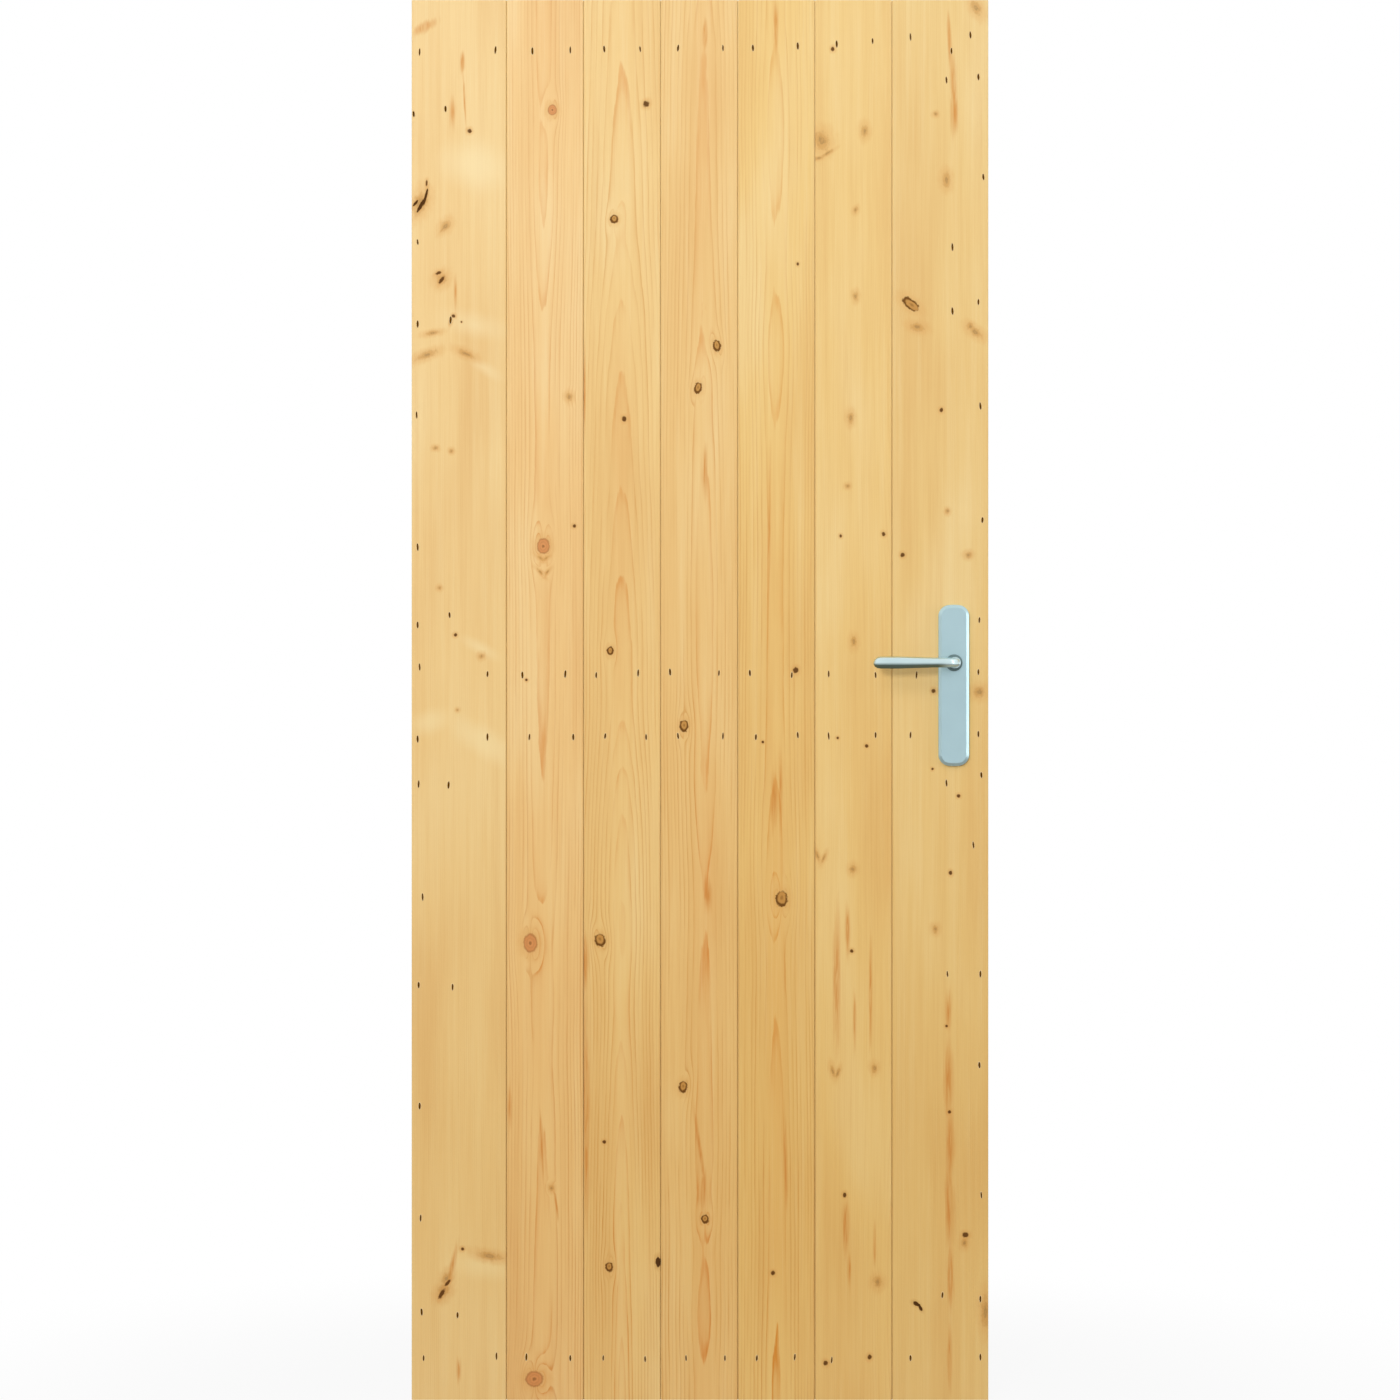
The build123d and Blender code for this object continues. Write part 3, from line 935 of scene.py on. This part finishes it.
@dataclass
class Brads:
    """The brads that hold the boards to one member of the frame, each in its punched slot.

    Their marks are their columns and rows in the photograph.
    """

    name: str
    marks: Tuple[Pair, ...]
    slot_wide: float = 3.1 * MILLIMETRE
    slot_high: float = 9.8 * MILLIMETRE
    lip_high: float = 0.3 * MILLIMETRE
    lip_slope: float = 0.5 * MILLIMETRE
    lip_flat: float = 0.4 * MILLIMETRE
    wall: float = 0.15 * MILLIMETRE
    sunk_share: float = 0.9
    head_inset: float = 0.5 * MILLIMETRE
    head_slope: float = 0.08 * MILLIMETRE
    head_high: float = 0.1 * MILLIMETRE
    rim_points: int = 12
    most_lean: float = 7.0
    heights: Pair = (0.85, 1.15)
    widths: Pair = (0.7, 1.05)
    smooth_angle: float = 50.0

    def build(self, finishes: Finishes) -> bpy.types.Object:
        """Builds the brads.

        Args:
            finishes: The lip's, the hole's and the brad's finish.

        Returns:
            The piece.
        """
        master = self._model_one(finishes)
        dice = random.Random(self.name)
        copies = []
        for column, row in self.marks:
            copy = master.copy()
            copy.data = master.data.copy()
            lean = math.radians(dice.uniform(-self.most_lean, self.most_lean))
            stretch = dice.uniform(*self.heights)
            squeeze = dice.uniform(*self.widths)
            copy.data.transform(
                Matrix.Translation((PHOTO.across(column), 0.0, PHOTO.up(row)))
                @ Matrix.Rotation(lean, 4, "Y")
                @ Matrix.Diagonal((squeeze, 1.0, stretch, 1.0))
            )
            bpy.context.scene.collection.objects.link(copy)
            copies.append(copy)
        bpy.data.objects.remove(master)
        select_only(copies[0])
        for copy in copies:
            copy.select_set(True)
        bpy.ops.object.join()
        piece = bpy.context.view_layer.objects.active
        piece.name = self.name
        bpy.ops.object.shade_smooth_by_angle(angle=math.radians(self.smooth_angle))
        return hand_over(piece, "door", "board_wood")

    def _model_one(self, finishes: Finishes) -> bpy.types.Object:
        """Models one brad at the foot of the hinge edge, on the boarded face.

        Args:
            finishes: The lip's, the hole's and the brad's finish.

        Returns:
            The brad.
        """
        edge = 2 * (self.lip_slope + self.lip_flat)
        size = (self.slot_wide + edge, self.slot_high + edge, 1.0)
        steps = (
            (self.lip_slope, self.lip_high, 0),
            (self.lip_flat, 0.0, 1),
            (self.wall, -self.sunk_share * self.lip_high, 1),
            (self.head_inset, 0.0, 2),
            (self.head_slope, self.head_high, 2),
        )
        place = (0.0, DOOR.front, 0.0)
        turn = (math.pi / 2, 0.0, 0.0)
        return press_face(self.rim_points, 0.5, place, turn, size, finishes, steps)


@dataclass
class ScrewRecess:
    """The driver's recess in the head of a screw: a shallow rim round a socket painted dark as its
    shade.
    """

    name: str
    screw: str
    corners: int
    faces_lock_edge: bool = False
    radius: float = 1.9 * MILLIMETRE
    lift: float = 0.02 * MILLIMETRE
    steps: Steps = (
        (0.2 * MILLIMETRE, 0.16 * MILLIMETRE, 0),
        (0.12 * MILLIMETRE, 0.0, 1),
        (0.1 * MILLIMETRE, -0.12 * MILLIMETRE, 1),
    )

    def build(self, finishes: Finishes) -> bpy.types.Object:
        """Builds the recess on its screw's head.

        Args:
            finishes: The rim's and the socket's finish.

        Returns:
            The piece.
        """
        low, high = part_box(self.screw)
        place = (low + high) / 2
        if self.faces_lock_edge:
            place.x = high.x + self.lift
            turn = (0.0, math.pi / 2, 0.0)
        else:
            place.y = high.y + self.lift
            turn = (-math.pi / 2, 0.0, 0.0)
        size = (1.0, 1.0, 1.0)
        piece = press_face(self.corners, self.radius, place, turn, size, finishes, self.steps)
        piece.name = self.name
        return hand_over(piece, "door", "screw_steel")


@dataclass
class Boarding:
    """The boarded face: seven boards, each sawn from another part of the log."""

    finishes: Tuple[WoodFinish, ...]

    def dress(self) -> None:
        """Gives each board its own wood."""
        for number, finish in enumerate(self.finishes, start=1):
            wood = replace(finish, name=f"wood_board_{number}", seed=float(number))
            dress_node(f"board_{number}", wood.build())


@dataclass
class Frame:
    """The frame behind the boards: two stiles and three rails."""

    upright: Tuple[str, ...] = ("hinge_stile", "lock_stile")
    level: Tuple[str, ...] = ("top_rail", "mid_rail", "bottom_rail")
    wood: WoodFinish = WoodFinish(heart_across=0.0, ring_contrast=0.45, surface=DOOR.back)

    def dress(self) -> None:
        """Gives each member its own wood."""
        for number, node in enumerate(self.upright):
            low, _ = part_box(node)
            finish = replace(
                self.wood,
                name=f"wood_{node}",
                heart_across=low.x - 0.03 - 0.05 * number,
                ring_width=0.0026,
                seed=31.0 + 7.0 * number,
            )
            dress_node(node, finish.build())
        for number, node in enumerate(self.level):
            low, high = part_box(node)
            finish = replace(
                self.wood,
                name=f"wood_{node}",
                heart_across=(low.z + high.z) / 2 + 0.02 * (number - 1),
                heart_depth=0.03,
                ring_width=0.003,
                seed=51.0 + 11.0 * number,
                grain_run=GrainRun.LEVEL,
            )
            dress_node(node, finish.build())


@dataclass
class Handles:
    """The lever handles and their long plates, on both faces."""

    satin: MetalFinish = MetalFinish(
        "satin_aluminium", colour=(0.55, 0.76, 0.81), shade=(0.47, 0.65, 0.71), roughness=0.4
    )
    bush: GrainedFinish = GrainedFinish(
        "dark_bush",
        colour=(0.11, 0.17, 0.175),
        shade=(0.1496, 0.2312, 0.238),
        tint_scale=90.0,
        grain_scale=2600.0,
        roughness=0.425,
        roughness_swing=0.15,
        relief=0.00003,
    )
    steel: MetalFinish = MetalFinish(
        "screw_steel", colour=(0.62, 0.61, 0.58), shade=(0.45, 0.45, 0.43), roughness=0.3
    )
    plate_edge: float = 0.9 * MILLIMETRE

    def build(self) -> None:
        """Builds and dresses the handles."""
        satin = self.satin.build()
        low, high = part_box("front_lever")
        grip = replace(
            self.satin,
            name="satin_grip",
            colour=(0.70, 0.86, 0.87),
            shade=(0.54, 0.70, 0.73),
            roughness=0.34,
            # Painted shade on the grip's underside, below its middle.
            underside_shade_share=0.9,
            underside_shade_top=(low.z + high.z) / 2 + MILLIMETRE,
            grip_end=high.x - 15 * MILLIMETRE,
        ).build()
        steel = self.steel.build()
        bush = self.bush.build()
        for side in ("front", "back"):
            plate = SoftenedNode(f"{side}_plate", "door", "satin_aluminium", self.plate_edge, 3)
            plate.build(satin)
            SoftenedNode(f"{side}_lever", "lever_set", "satin_aluminium", 0.0).build(grip)
            SoftenedNode(f"{side}_collar", "door", "dark_bush").build(bush)
        for node in ("plate_screw_upper", "plate_screw_lower", "lever_grub_screw"):
            dress_node(node, steel)
        socket = shaded_hole_finish("socket_dark", SOCKET_SHADE).build()
        for level in ("upper", "lower"):
            name = f"plate_screw_socket_{level}"
            ScrewRecess(name, f"plate_screw_{level}", corners=6).build((steel, socket))


@dataclass
class Latch:
    """The latch in the lock edge, and what turns inside it."""

    strip: MetalFinish = MetalFinish(
        "forend_steel", colour=(0.64, 0.62, 0.57), shade=(0.5, 0.48, 0.44), roughness=0.26
    )
    case: MetalFinish = MetalFinish(
        "latch_steel", colour=(0.34, 0.35, 0.36), shade=(0.22, 0.23, 0.24), roughness=0.5
    )

    def build(self) -> None:
        """Builds and dresses the latch."""
        strip = self.strip.build()
        case = self.case.build()
        SoftenedNode("forend", "door", "forend_steel", 0.3 * MILLIMETRE).build(strip)
        SoftenedNode("latch_bolt", "door", "forend_steel", 0.4 * MILLIMETRE).build(strip)
        for node in ("latch_case", "follower", "spindle"):
            dress_node(node, case)
        socket = shaded_hole_finish("recess_dark", SOCKET_SHADE).build()
        for level in ("upper", "lower"):
            screw = f"forend_screw_{level}"
            dress_node(screw, strip)
            name = f"forend_screw_recess_{level}"
            ScrewRecess(name, screw, corners=4, faces_lock_edge=True).build((strip, socket))


@dataclass(frozen=True)
class Lamp:
    """A soft rectangular lamp: where it hangs, what it points at, its power in watts, its size."""

    name: str
    place: Point
    aim: Point
    power: float
    size: Pair
    mirrored: bool = False


@dataclass
class Studio:
    """A pale floor, a key lamp ahead, soft lamps above and behind, one beside, and the camera."""

    camera_distance: float = 6.0
    camera_column: float = 700.0
    sensor_width: float = 36.0
    floor_size: float = 24.0
    floor_drop: float = 0.5 * MILLIMETRE
    floor_grey: float = 0.42
    floor_white: float = 0.92
    floor_mirrored: float = 0.12
    fade_start: float = 0.5
    fade_end: float = 1.5
    world_diffuse: float = 0.56
    white: Tuple[float, float, float, float] = (1.0, 1.0, 1.0, 1.0)
    lamps: Tuple[Lamp, ...] = (
        Lamp("key", (-0.6, -5.4, 2.0), (0.4, 0.0, 1.15), 118.0, (1.0, 0.8)),
        Lamp("soft", (-1.4, -5.2, 4.1), (0.2, 0.0, 1.4), 68.0, (3.2, 2.0)),
        Lamp("back", (1.2, 5.0, 2.8), (0.4, 0.0, 1.0), 60.0, (3.0, 2.0)),
        Lamp("side", (4.8, -1.3, 1.3), (0.8, 0.0, 1.05), 19.0, (0.8, 2.0), mirrored=True),
    )

    def build(self) -> None:
        """Builds the studio."""
        self._light_world()
        self._lay_floor()
        for lamp in self.lamps:
            self._hang(lamp)
        self._stand_camera()

    def _light_world(self) -> None:
        """Sets a world that lights softly and shows white behind the door."""
        world = bpy.data.worlds.new("studio")
        bpy.context.scene.world = world
        tree = ShaderTree(world)
        seen = self._seen_directly(tree)
        glossy = seen.other("Is Glossy Ray")
        through = seen.other("Is Transmission Ray")
        shown = tree.math("MAXIMUM", tree.math("MAXIMUM", seen, glossy), through)
        strength = self.world_diffuse + (1.0 - self.world_diffuse) * shown
        sky = tree.node("ShaderNodeBackground", {"Color": self.white, "Strength": strength})
        tree.node("ShaderNodeOutputWorld", {"Surface": sky})

    @staticmethod
    def _seen_directly(tree: ShaderTree) -> Signal:
        """Returns 1 where the camera looks straight at the surface."""
        return tree.node("ShaderNodeLightPath", output="Is Camera Ray")

    def _lay_floor(self) -> None:
        """Lays a pale floor that keeps the door's shadow and fades to white away from it."""
        bpy.ops.object.select_all(action="DESELECT")
        place = (0.0, 0.0, -self.floor_drop)
        bpy.ops.mesh.primitive_plane_add(size=self.floor_size, location=place)
        floor = bpy.context.view_layer.objects.active
        floor.name = "floor"
        settle(floor)
        tree = ShaderTree(bpy.data.materials.new("pale_floor"))
        centred = {0: tree.mapped(tree.position(), (-DOOR.width / 2, 0.0, 0.0))}
        distance = tree.node("ShaderNodeVectorMath", centred, "Value", operation="LENGTH")
        direct = self._seen_directly(tree)
        seen = tree.math("MAXIMUM", direct, direct.other("Is Transmission Ray"))
        far = tree.step(distance, self.fade_start, self.fade_end)
        faded = self.floor_white + (1.0 - self.floor_white) * far
        glossy = self.floor_mirrored * direct.other("Is Glossy Ray")
        share = tree.math("MAXIMUM", seen * faded, glossy)
        grey = (self.floor_grey, self.floor_grey, self.floor_grey, 1.0)
        matt = tree.node("ShaderNodeBsdfDiffuse", {"Color": grey})
        white = tree.node("ShaderNodeEmission", {"Color": self.white, "Strength": 1.0})
        mixed = tree.node("ShaderNodeMixShader", {0: share, 1: matt, 2: white})
        tree.node("ShaderNodeOutputMaterial", {"Surface": mixed})
        floor.data.materials.append(tree.owner)

    @staticmethod
    def _hang(lamp: Lamp) -> None:
        """Hangs a lamp, which metal doesn't mirror unless it is said to.

        Args:
            lamp: The lamp.
        """
        light = bpy.data.lights.new(lamp.name, "AREA")
        light.shape = "RECTANGLE"
        light.size, light.size_y = lamp.size
        light.energy = lamp.power
        holder = bpy.data.objects.new(lamp.name, light)
        bpy.context.scene.collection.objects.link(holder)
        holder.location = lamp.place
        direction = Vector(lamp.aim) - Vector(lamp.place)
        holder.rotation_euler = direction.to_track_quat("-Z", "Y").to_euler()
        holder.visible_glossy = lamp.mirrored

    def _stand_camera(self) -> None:
        """Stands the camera square to the boards, with the leaf filling the picture's height."""
        lens = bpy.data.cameras.new("camera")
        lens.sensor_fit = "HORIZONTAL"
        lens.sensor_width = self.sensor_width
        lens.lens = self.sensor_width * self.camera_distance / DOOR.height
        holder = bpy.data.objects.new("camera", lens)
        bpy.context.scene.collection.objects.link(holder)
        across = PHOTO.across(self.camera_column)
        holder.location = (across, DOOR.front - self.camera_distance, DOOR.height / 2)
        holder.rotation_euler = (math.pi / 2, 0.0, 0.0)
        bpy.context.scene.camera = holder


# Painted shade for the deep sockets of the screws, laid on shallow recesses.
SOCKET_SHADE = linear(38, 38, 38)
BRAD_FINISHES = (
    GrainedFinish(
        "torn_fibre",
        linear(246, 222, 168),
        linear(208, 160, 96),
        tint_scale=1400.0,
        grain_scale=1400.0,
        stretch=0.2,
        roughness=0.6,
        roughness_swing=0.2,
    ),
    # Painted shade: the punched hole and the brad's head at its bottom are coloured dark.
    shaded_hole_finish("brad_hole_shade", linear(84, 46, 2)),
    shaded_hole_finish("brad_head_shade", linear(134, 86, 18)),
)

BOARD_WOODS: Tuple[WoodFinish, ...] = (
    WoodFinish(
        heart_across=0.235,
        heart_depth=0.03,
        ring_width=0.0027,
        ring_contrast=0.26,
        early=linear(242, 208, 148),
        knots={
            GHOST: spots(
                (419, 203, 15, 26, 25), (445, 226, 9, 14, 40), (443, 228, 3.0, 13, 40),
                (441, 279, 12, 14, 30), (432, 333, 16, 5, -10), (426, 355, 24, 8, -20),
                (466, 354, 20, 7, 25), (435, 448, 6, 5), (451, 451, 5, 5), (439, 588, 5, 5),
                (481, 656, 6, 6), (457, 710, 4, 4), (446, 1279, 9, 16, 20), (443, 1291, 12, 17, 35),
                (489, 1256, 26, 9, 10),
            ),
            PIN: spots(
                (426, 183, 2.4, 7, 5), (441, 280, 4.2, 10, 35), (438, 273, 3.4, 7, 70),
                (453, 316, 4, 4), (450, 322, 3, 6, 15), (461, 322, 2, 2), (469, 131, 5, 5),
                (455, 635, 4, 4), (462, 1249, 4, 4), (441, 1294, 4.4, 13, 30),
                (447, 1283, 3.4, 9, 40),
            ),
            SHAKE: spots((425, 197, 2.4, 18, 14), (420, 206, 3.6, 15, 28), (415, 203, 2.6, 8, 40)),
        },
        resin_streaks=spots(
            (424, 27, 12, 34, 62), (462, 62, 6, 26), (464, 100, 2.5, 70, -3), (452, 112, 8, 40),
            (455, 292, 4, 44), (452, 1265, 6, 50, 12), (458, 1370, 5, 30),
        ),
        curl_highlights=spots(
            (472, 165, 70, 46, 12), (474, 325, 70, 30, 14), (484, 368, 44, 16, 34),
            (480, 648, 40, 14, 30), (484, 742, 66, 26, 34), (428, 722, 40, 24, -18),
            (484, 1266, 60, 26, 8),
        ),
    ),
    WoodFinish(
        heart_across=0.189,
        arches=(
            (0, 6.2), (120, 6.6), (225, 7.0), (312, 8.0), (420, 8.5), (560, 8.6), (700, 8.65),
            (800, 9.0), (900, 9.4), (1020, 10.0), (1060, 10.2), (1100, 10.0), (1220, 9.5),
            (1345, 9.0), (1400, 8.7),
        ),
        ring_width=0.0036,
        waver=0.4,
        early=linear(243, 204, 143),
        late=linear(216, 154, 90),
        knots={
            GHOST: spots(
                (569, 397, 7, 9), (540, 558, 3.4, 9, -52), (546, 558, 3.4, 9, 52),
                (540, 572, 3.2, 11, -42), (547, 572, 3, 9, 38), (551, 1188, 6, 7),
            ),
            LIVE: spots(
                (552, 110, 9, 11), (543, 546, 13, 16), (530, 943, 14, 19), (534, 1379, 18, 16),
            ),
            PIN: spots((574, 526, 4, 4), (526, 680, 3, 3)),
        },
        resin_streaks=spots((509, 1105, 5, 60), (541, 1140, 3, 110, -3), (556, 1205, 3, 40, -8)),
    ),
    WoodFinish(
        heart_across=0.303,
        arches=(
            (0, 14.4), (120, 13.6), (240, 13.0), (300, 12.0), (370, 11.0), (490, 10.0), (575, 9.0),
            (640, 8.3), (665, 8.2), (718, 8.0), (768, 7.0), (815, 6.0), (900, 5.0), (940, 4.7),
            (975, 5.0), (1015, 5.2), (1060, 4.7), (1115, 4.0), (1205, 3.0), (1270, 2.5),
            (1340, 2.0), (1400, 1.4),
        ),
        ring_width=0.0042,
        waver=0.35,
        early=linear(241, 205, 141),
        knots={
            RINGED: spots(
                (614, 219, 8, 9, 10), (610, 651, 7, 9), (600, 940, 11, 13, -8), (609, 1267, 8, 10),
            ),
            PIN: spots((646, 104, 7, 7), (624, 419, 5, 6), (604, 1142, 4, 4)),
            SHAKE: spots((658, 1262, 5, 10)),
        },
        resin_streaks=spots(
            (585, 962, 8, 60), (586, 1100, 8, 200), (586, 1160, 6, 150), (584, 395, 4, 90),
        ),
    ),
    WoodFinish(
        heart_across=0.421,
        arches=(
            (0, 8.6), (40, 8.0), (160, 7.6), (230, 7.4), (292, 7.0), (380, 6.5), (448, 6.0),
            (560, 5.3), (660, 5.2), (740, 5.6), (800, 6.0), (855, 6.6), (900, 7.0), (960, 6.8),
            (1040, 6.4), (1110, 6.2), (1160, 6.3), (1240, 7.0), (1280, 6.8), (1320, 6.6),
            (1368, 7.0), (1400, 7.1),
        ),
        ring_width=0.0042,
        waver=0.35,
        early=linear(239, 200, 136),
        knots={
            RINGED: spots(
                (717, 346, 8, 12, -10), (698, 388, 8, 11, 10), (684, 726, 9, 12),
                (683, 1087, 9, 12, 8), (705, 1219, 8, 9),
            ),
        },
        resin_streaks=spots(
            (705, 34, 5, 30), (705, 470, 7, 50), (708, 895, 9, 40), (700, 1150, 5, 90, -8),
            (703, 1190, 7, 50, 4),
        ),
    ),
    WoodFinish(
        heart_across=0.524,
        arches=(
            (0, 8.2), (40, 8.0), (130, 7.4), (235, 8.0), (255, 8.1), (280, 8.0), (350, 7.4),
            (435, 8.0), (520, 8.3), (640, 8.4), (780, 8.0), (850, 7.5), (925, 8.0), (960, 8.2),
            (1000, 8.0), (1120, 7.4), (1250, 7.3), (1345, 7.0), (1400, 6.8),
        ),
        ring_width=0.0038,
        waver=0.35,
        early=linear(240, 203, 133),
        heart_tint=linear(222, 150, 66),
        knots={
            RINGED: spots((782, 899, 12, 16)),
            PIN: spots((798, 264, 3, 4), (796, 670, 6, 7), (763, 742, 3, 3), (773, 1273, 5, 5)),
        },
        resin_streaks=spots(
            (769, 545, 3, 210, 1), (776, 25, 7, 60), (774, 800, 9, 70), (781, 790, 5, 90),
            (786, 1165, 4, 110, -1),
        ),
    ),
    WoodFinish(
        heart_across=0.7,
        heart_depth=0.03,
        ring_width=0.0029,
        ring_contrast=0.26,
        early=linear(240, 204, 136),
        knots={
            GHOST: spots(
                (822, 141, 17, 20, -20), (828, 153, 4, 16, 58), (819, 158, 4, 9, 80),
                (865, 131, 8, 14), (856, 210, 5, 7, 20), (856, 296, 6, 10), (851, 418, 7, 13),
                (848, 486, 6, 5), (854, 642, 7, 12), (818, 856, 4, 14, -20), (824, 858, 4, 11, 25),
                (853, 869, 8, 9), (833, 1071, 5, 14, -15), (838, 1073, 4, 12, 20),
                (875, 1068, 7, 10), (878, 1282, 10, 12),
            ),
            PIN: spots(
                (833, 49, 4, 5), (884, 534, 4, 5), (841, 536, 3, 4), (838, 738, 3, 3),
                (867, 746, 4, 4), (852, 951, 4, 4), (845, 1195, 4, 6), (826, 1363, 5, 6),
                (870, 1357, 5, 6),
            ),
        },
        resin_streaks=spots(
            (837, 980, 9, 160), (848, 930, 6, 60), (871, 990, 4, 130), (855, 1020, 4, 70),
            (846, 1225, 9, 60), (875, 1245, 4, 50), (850, 1270, 5, 40),
        ),
    ),
    WoodFinish(
        heart_across=0.9,
        heart_depth=0.03,
        ring_width=0.0027,
        ring_contrast=0.24,
        early=linear(238, 203, 137),
        knots={
            GHOST: spots(
                (936, 114, 5, 5), (947, 180, 9, 16), (918, 327, 16, 9, 12), (971, 326, 7, 9, -30),
                (976, 332, 18, 9, 35), (948, 511, 5, 6), (969, 555, 8, 7), (980, 692, 13, 12),
                (936, 929, 7, 9), (965, 1243, 7, 10), (986, 1312, 10, 34), (977, 8, 18, 10, 60),
            ),
            RINGED: spots((911, 304, 10, 20, 128)),
            PIN: spots(
                (942, 410, 4, 5), (903, 555, 5, 5), (934, 691, 5, 5), (933, 769, 3, 3),
                (959, 796, 4, 4), (951, 873, 4, 5), (947, 1026, 3, 3), (950, 1112, 4, 4),
                (966, 1235, 7, 6),
            ),
            SHAKE: spots((917, 1304, 4.2, 7.5, -58), (921, 1308, 3.0, 7.0, -30)),
        },
        resin_streaks=spots(
            (950, 40, 5, 76, -3), (954, 88, 7, 96, -2), (955, 112, 10, 52, -1), (949, 1012, 8, 50),
            (949, 1080, 12, 100), (951, 1145, 10, 110), (950, 1205, 12, 100), (951, 1275, 9, 70),
            (950, 1360, 6, 70),
        ),
    ),
)

BRADS: Tuple[Brads, ...] = (
    Brads(
        "brads_top_rail",
        (
            (419, 52), (495, 50), (532, 51), (570, 50), (604, 49), (640, 49), (678, 48), (723, 48),
            (753, 48), (798, 46), (837, 44), (873, 41), (911, 37), (952, 51), (971, 35),
        ),
    ),
    Brads(
        "brads_mid_rail_upper",
        (
            (419, 667), (487, 674), (522, 675), (565, 674), (596, 675), (638, 673), (670, 672),
            (719, 673), (750, 673), (792, 675), (829, 674), (876, 675), (917, 675), (979, 672),
        ),
    ),
    Brads(
        "brads_mid_rail_lower",
        (
            (417, 739), (487, 737), (529, 737), (573, 737), (605, 736), (646, 737), (678, 736),
            (723, 736), (756, 737), (798, 735), (829, 736), (876, 735), (911, 735), (979, 734),
        ),
    ),
    Brads(
        "brads_bottom_rail",
        (
            (423, 1358), (496, 1356), (526, 1357), (570, 1358), (603, 1358), (645, 1359),
            (686, 1358), (725, 1358), (757, 1358), (795, 1357), (832, 1360), (911, 1358),
            (981, 1357),
        ),
    ),
    Brads(
        "brads_hinge_stile",
        (
            (413, 114), (417, 242), (417, 324), (416, 415), (417, 547), (417, 625), (418, 784),
            (422, 897), (418, 985), (419, 1106), (420, 1218), (421, 1312), (445, 109), (450, 320),
            (449, 615), (448, 785), (452, 987), (457, 1315),
        ),
    ),
    Brads(
        "brads_lock_stile",
        (
            (947, 80), (953, 247), (953, 311), (947, 783), (948, 974), (943, 1295), (979, 77),
            (984, 177), (979, 302), (981, 406), (983, 520), (980, 620), (982, 775), (974, 845),
            (981, 974), (980, 1065), (982, 1195), (981, 1299),
        ),
    ),
)


def main() -> None:
    """Builds every sub-assembly in order."""
    Boarding(BOARD_WOODS).dress()
    Frame().dress()
    Handles().build()
    Latch().build()
    brad_finishes = [finish.build() for finish in BRAD_FINISHES]
    for run in BRADS:
        run.build(brad_finishes)
    Studio().build()
    bpy.context.scene.view_settings.view_transform = "Standard"


if __name__ == "__main__":
    main()
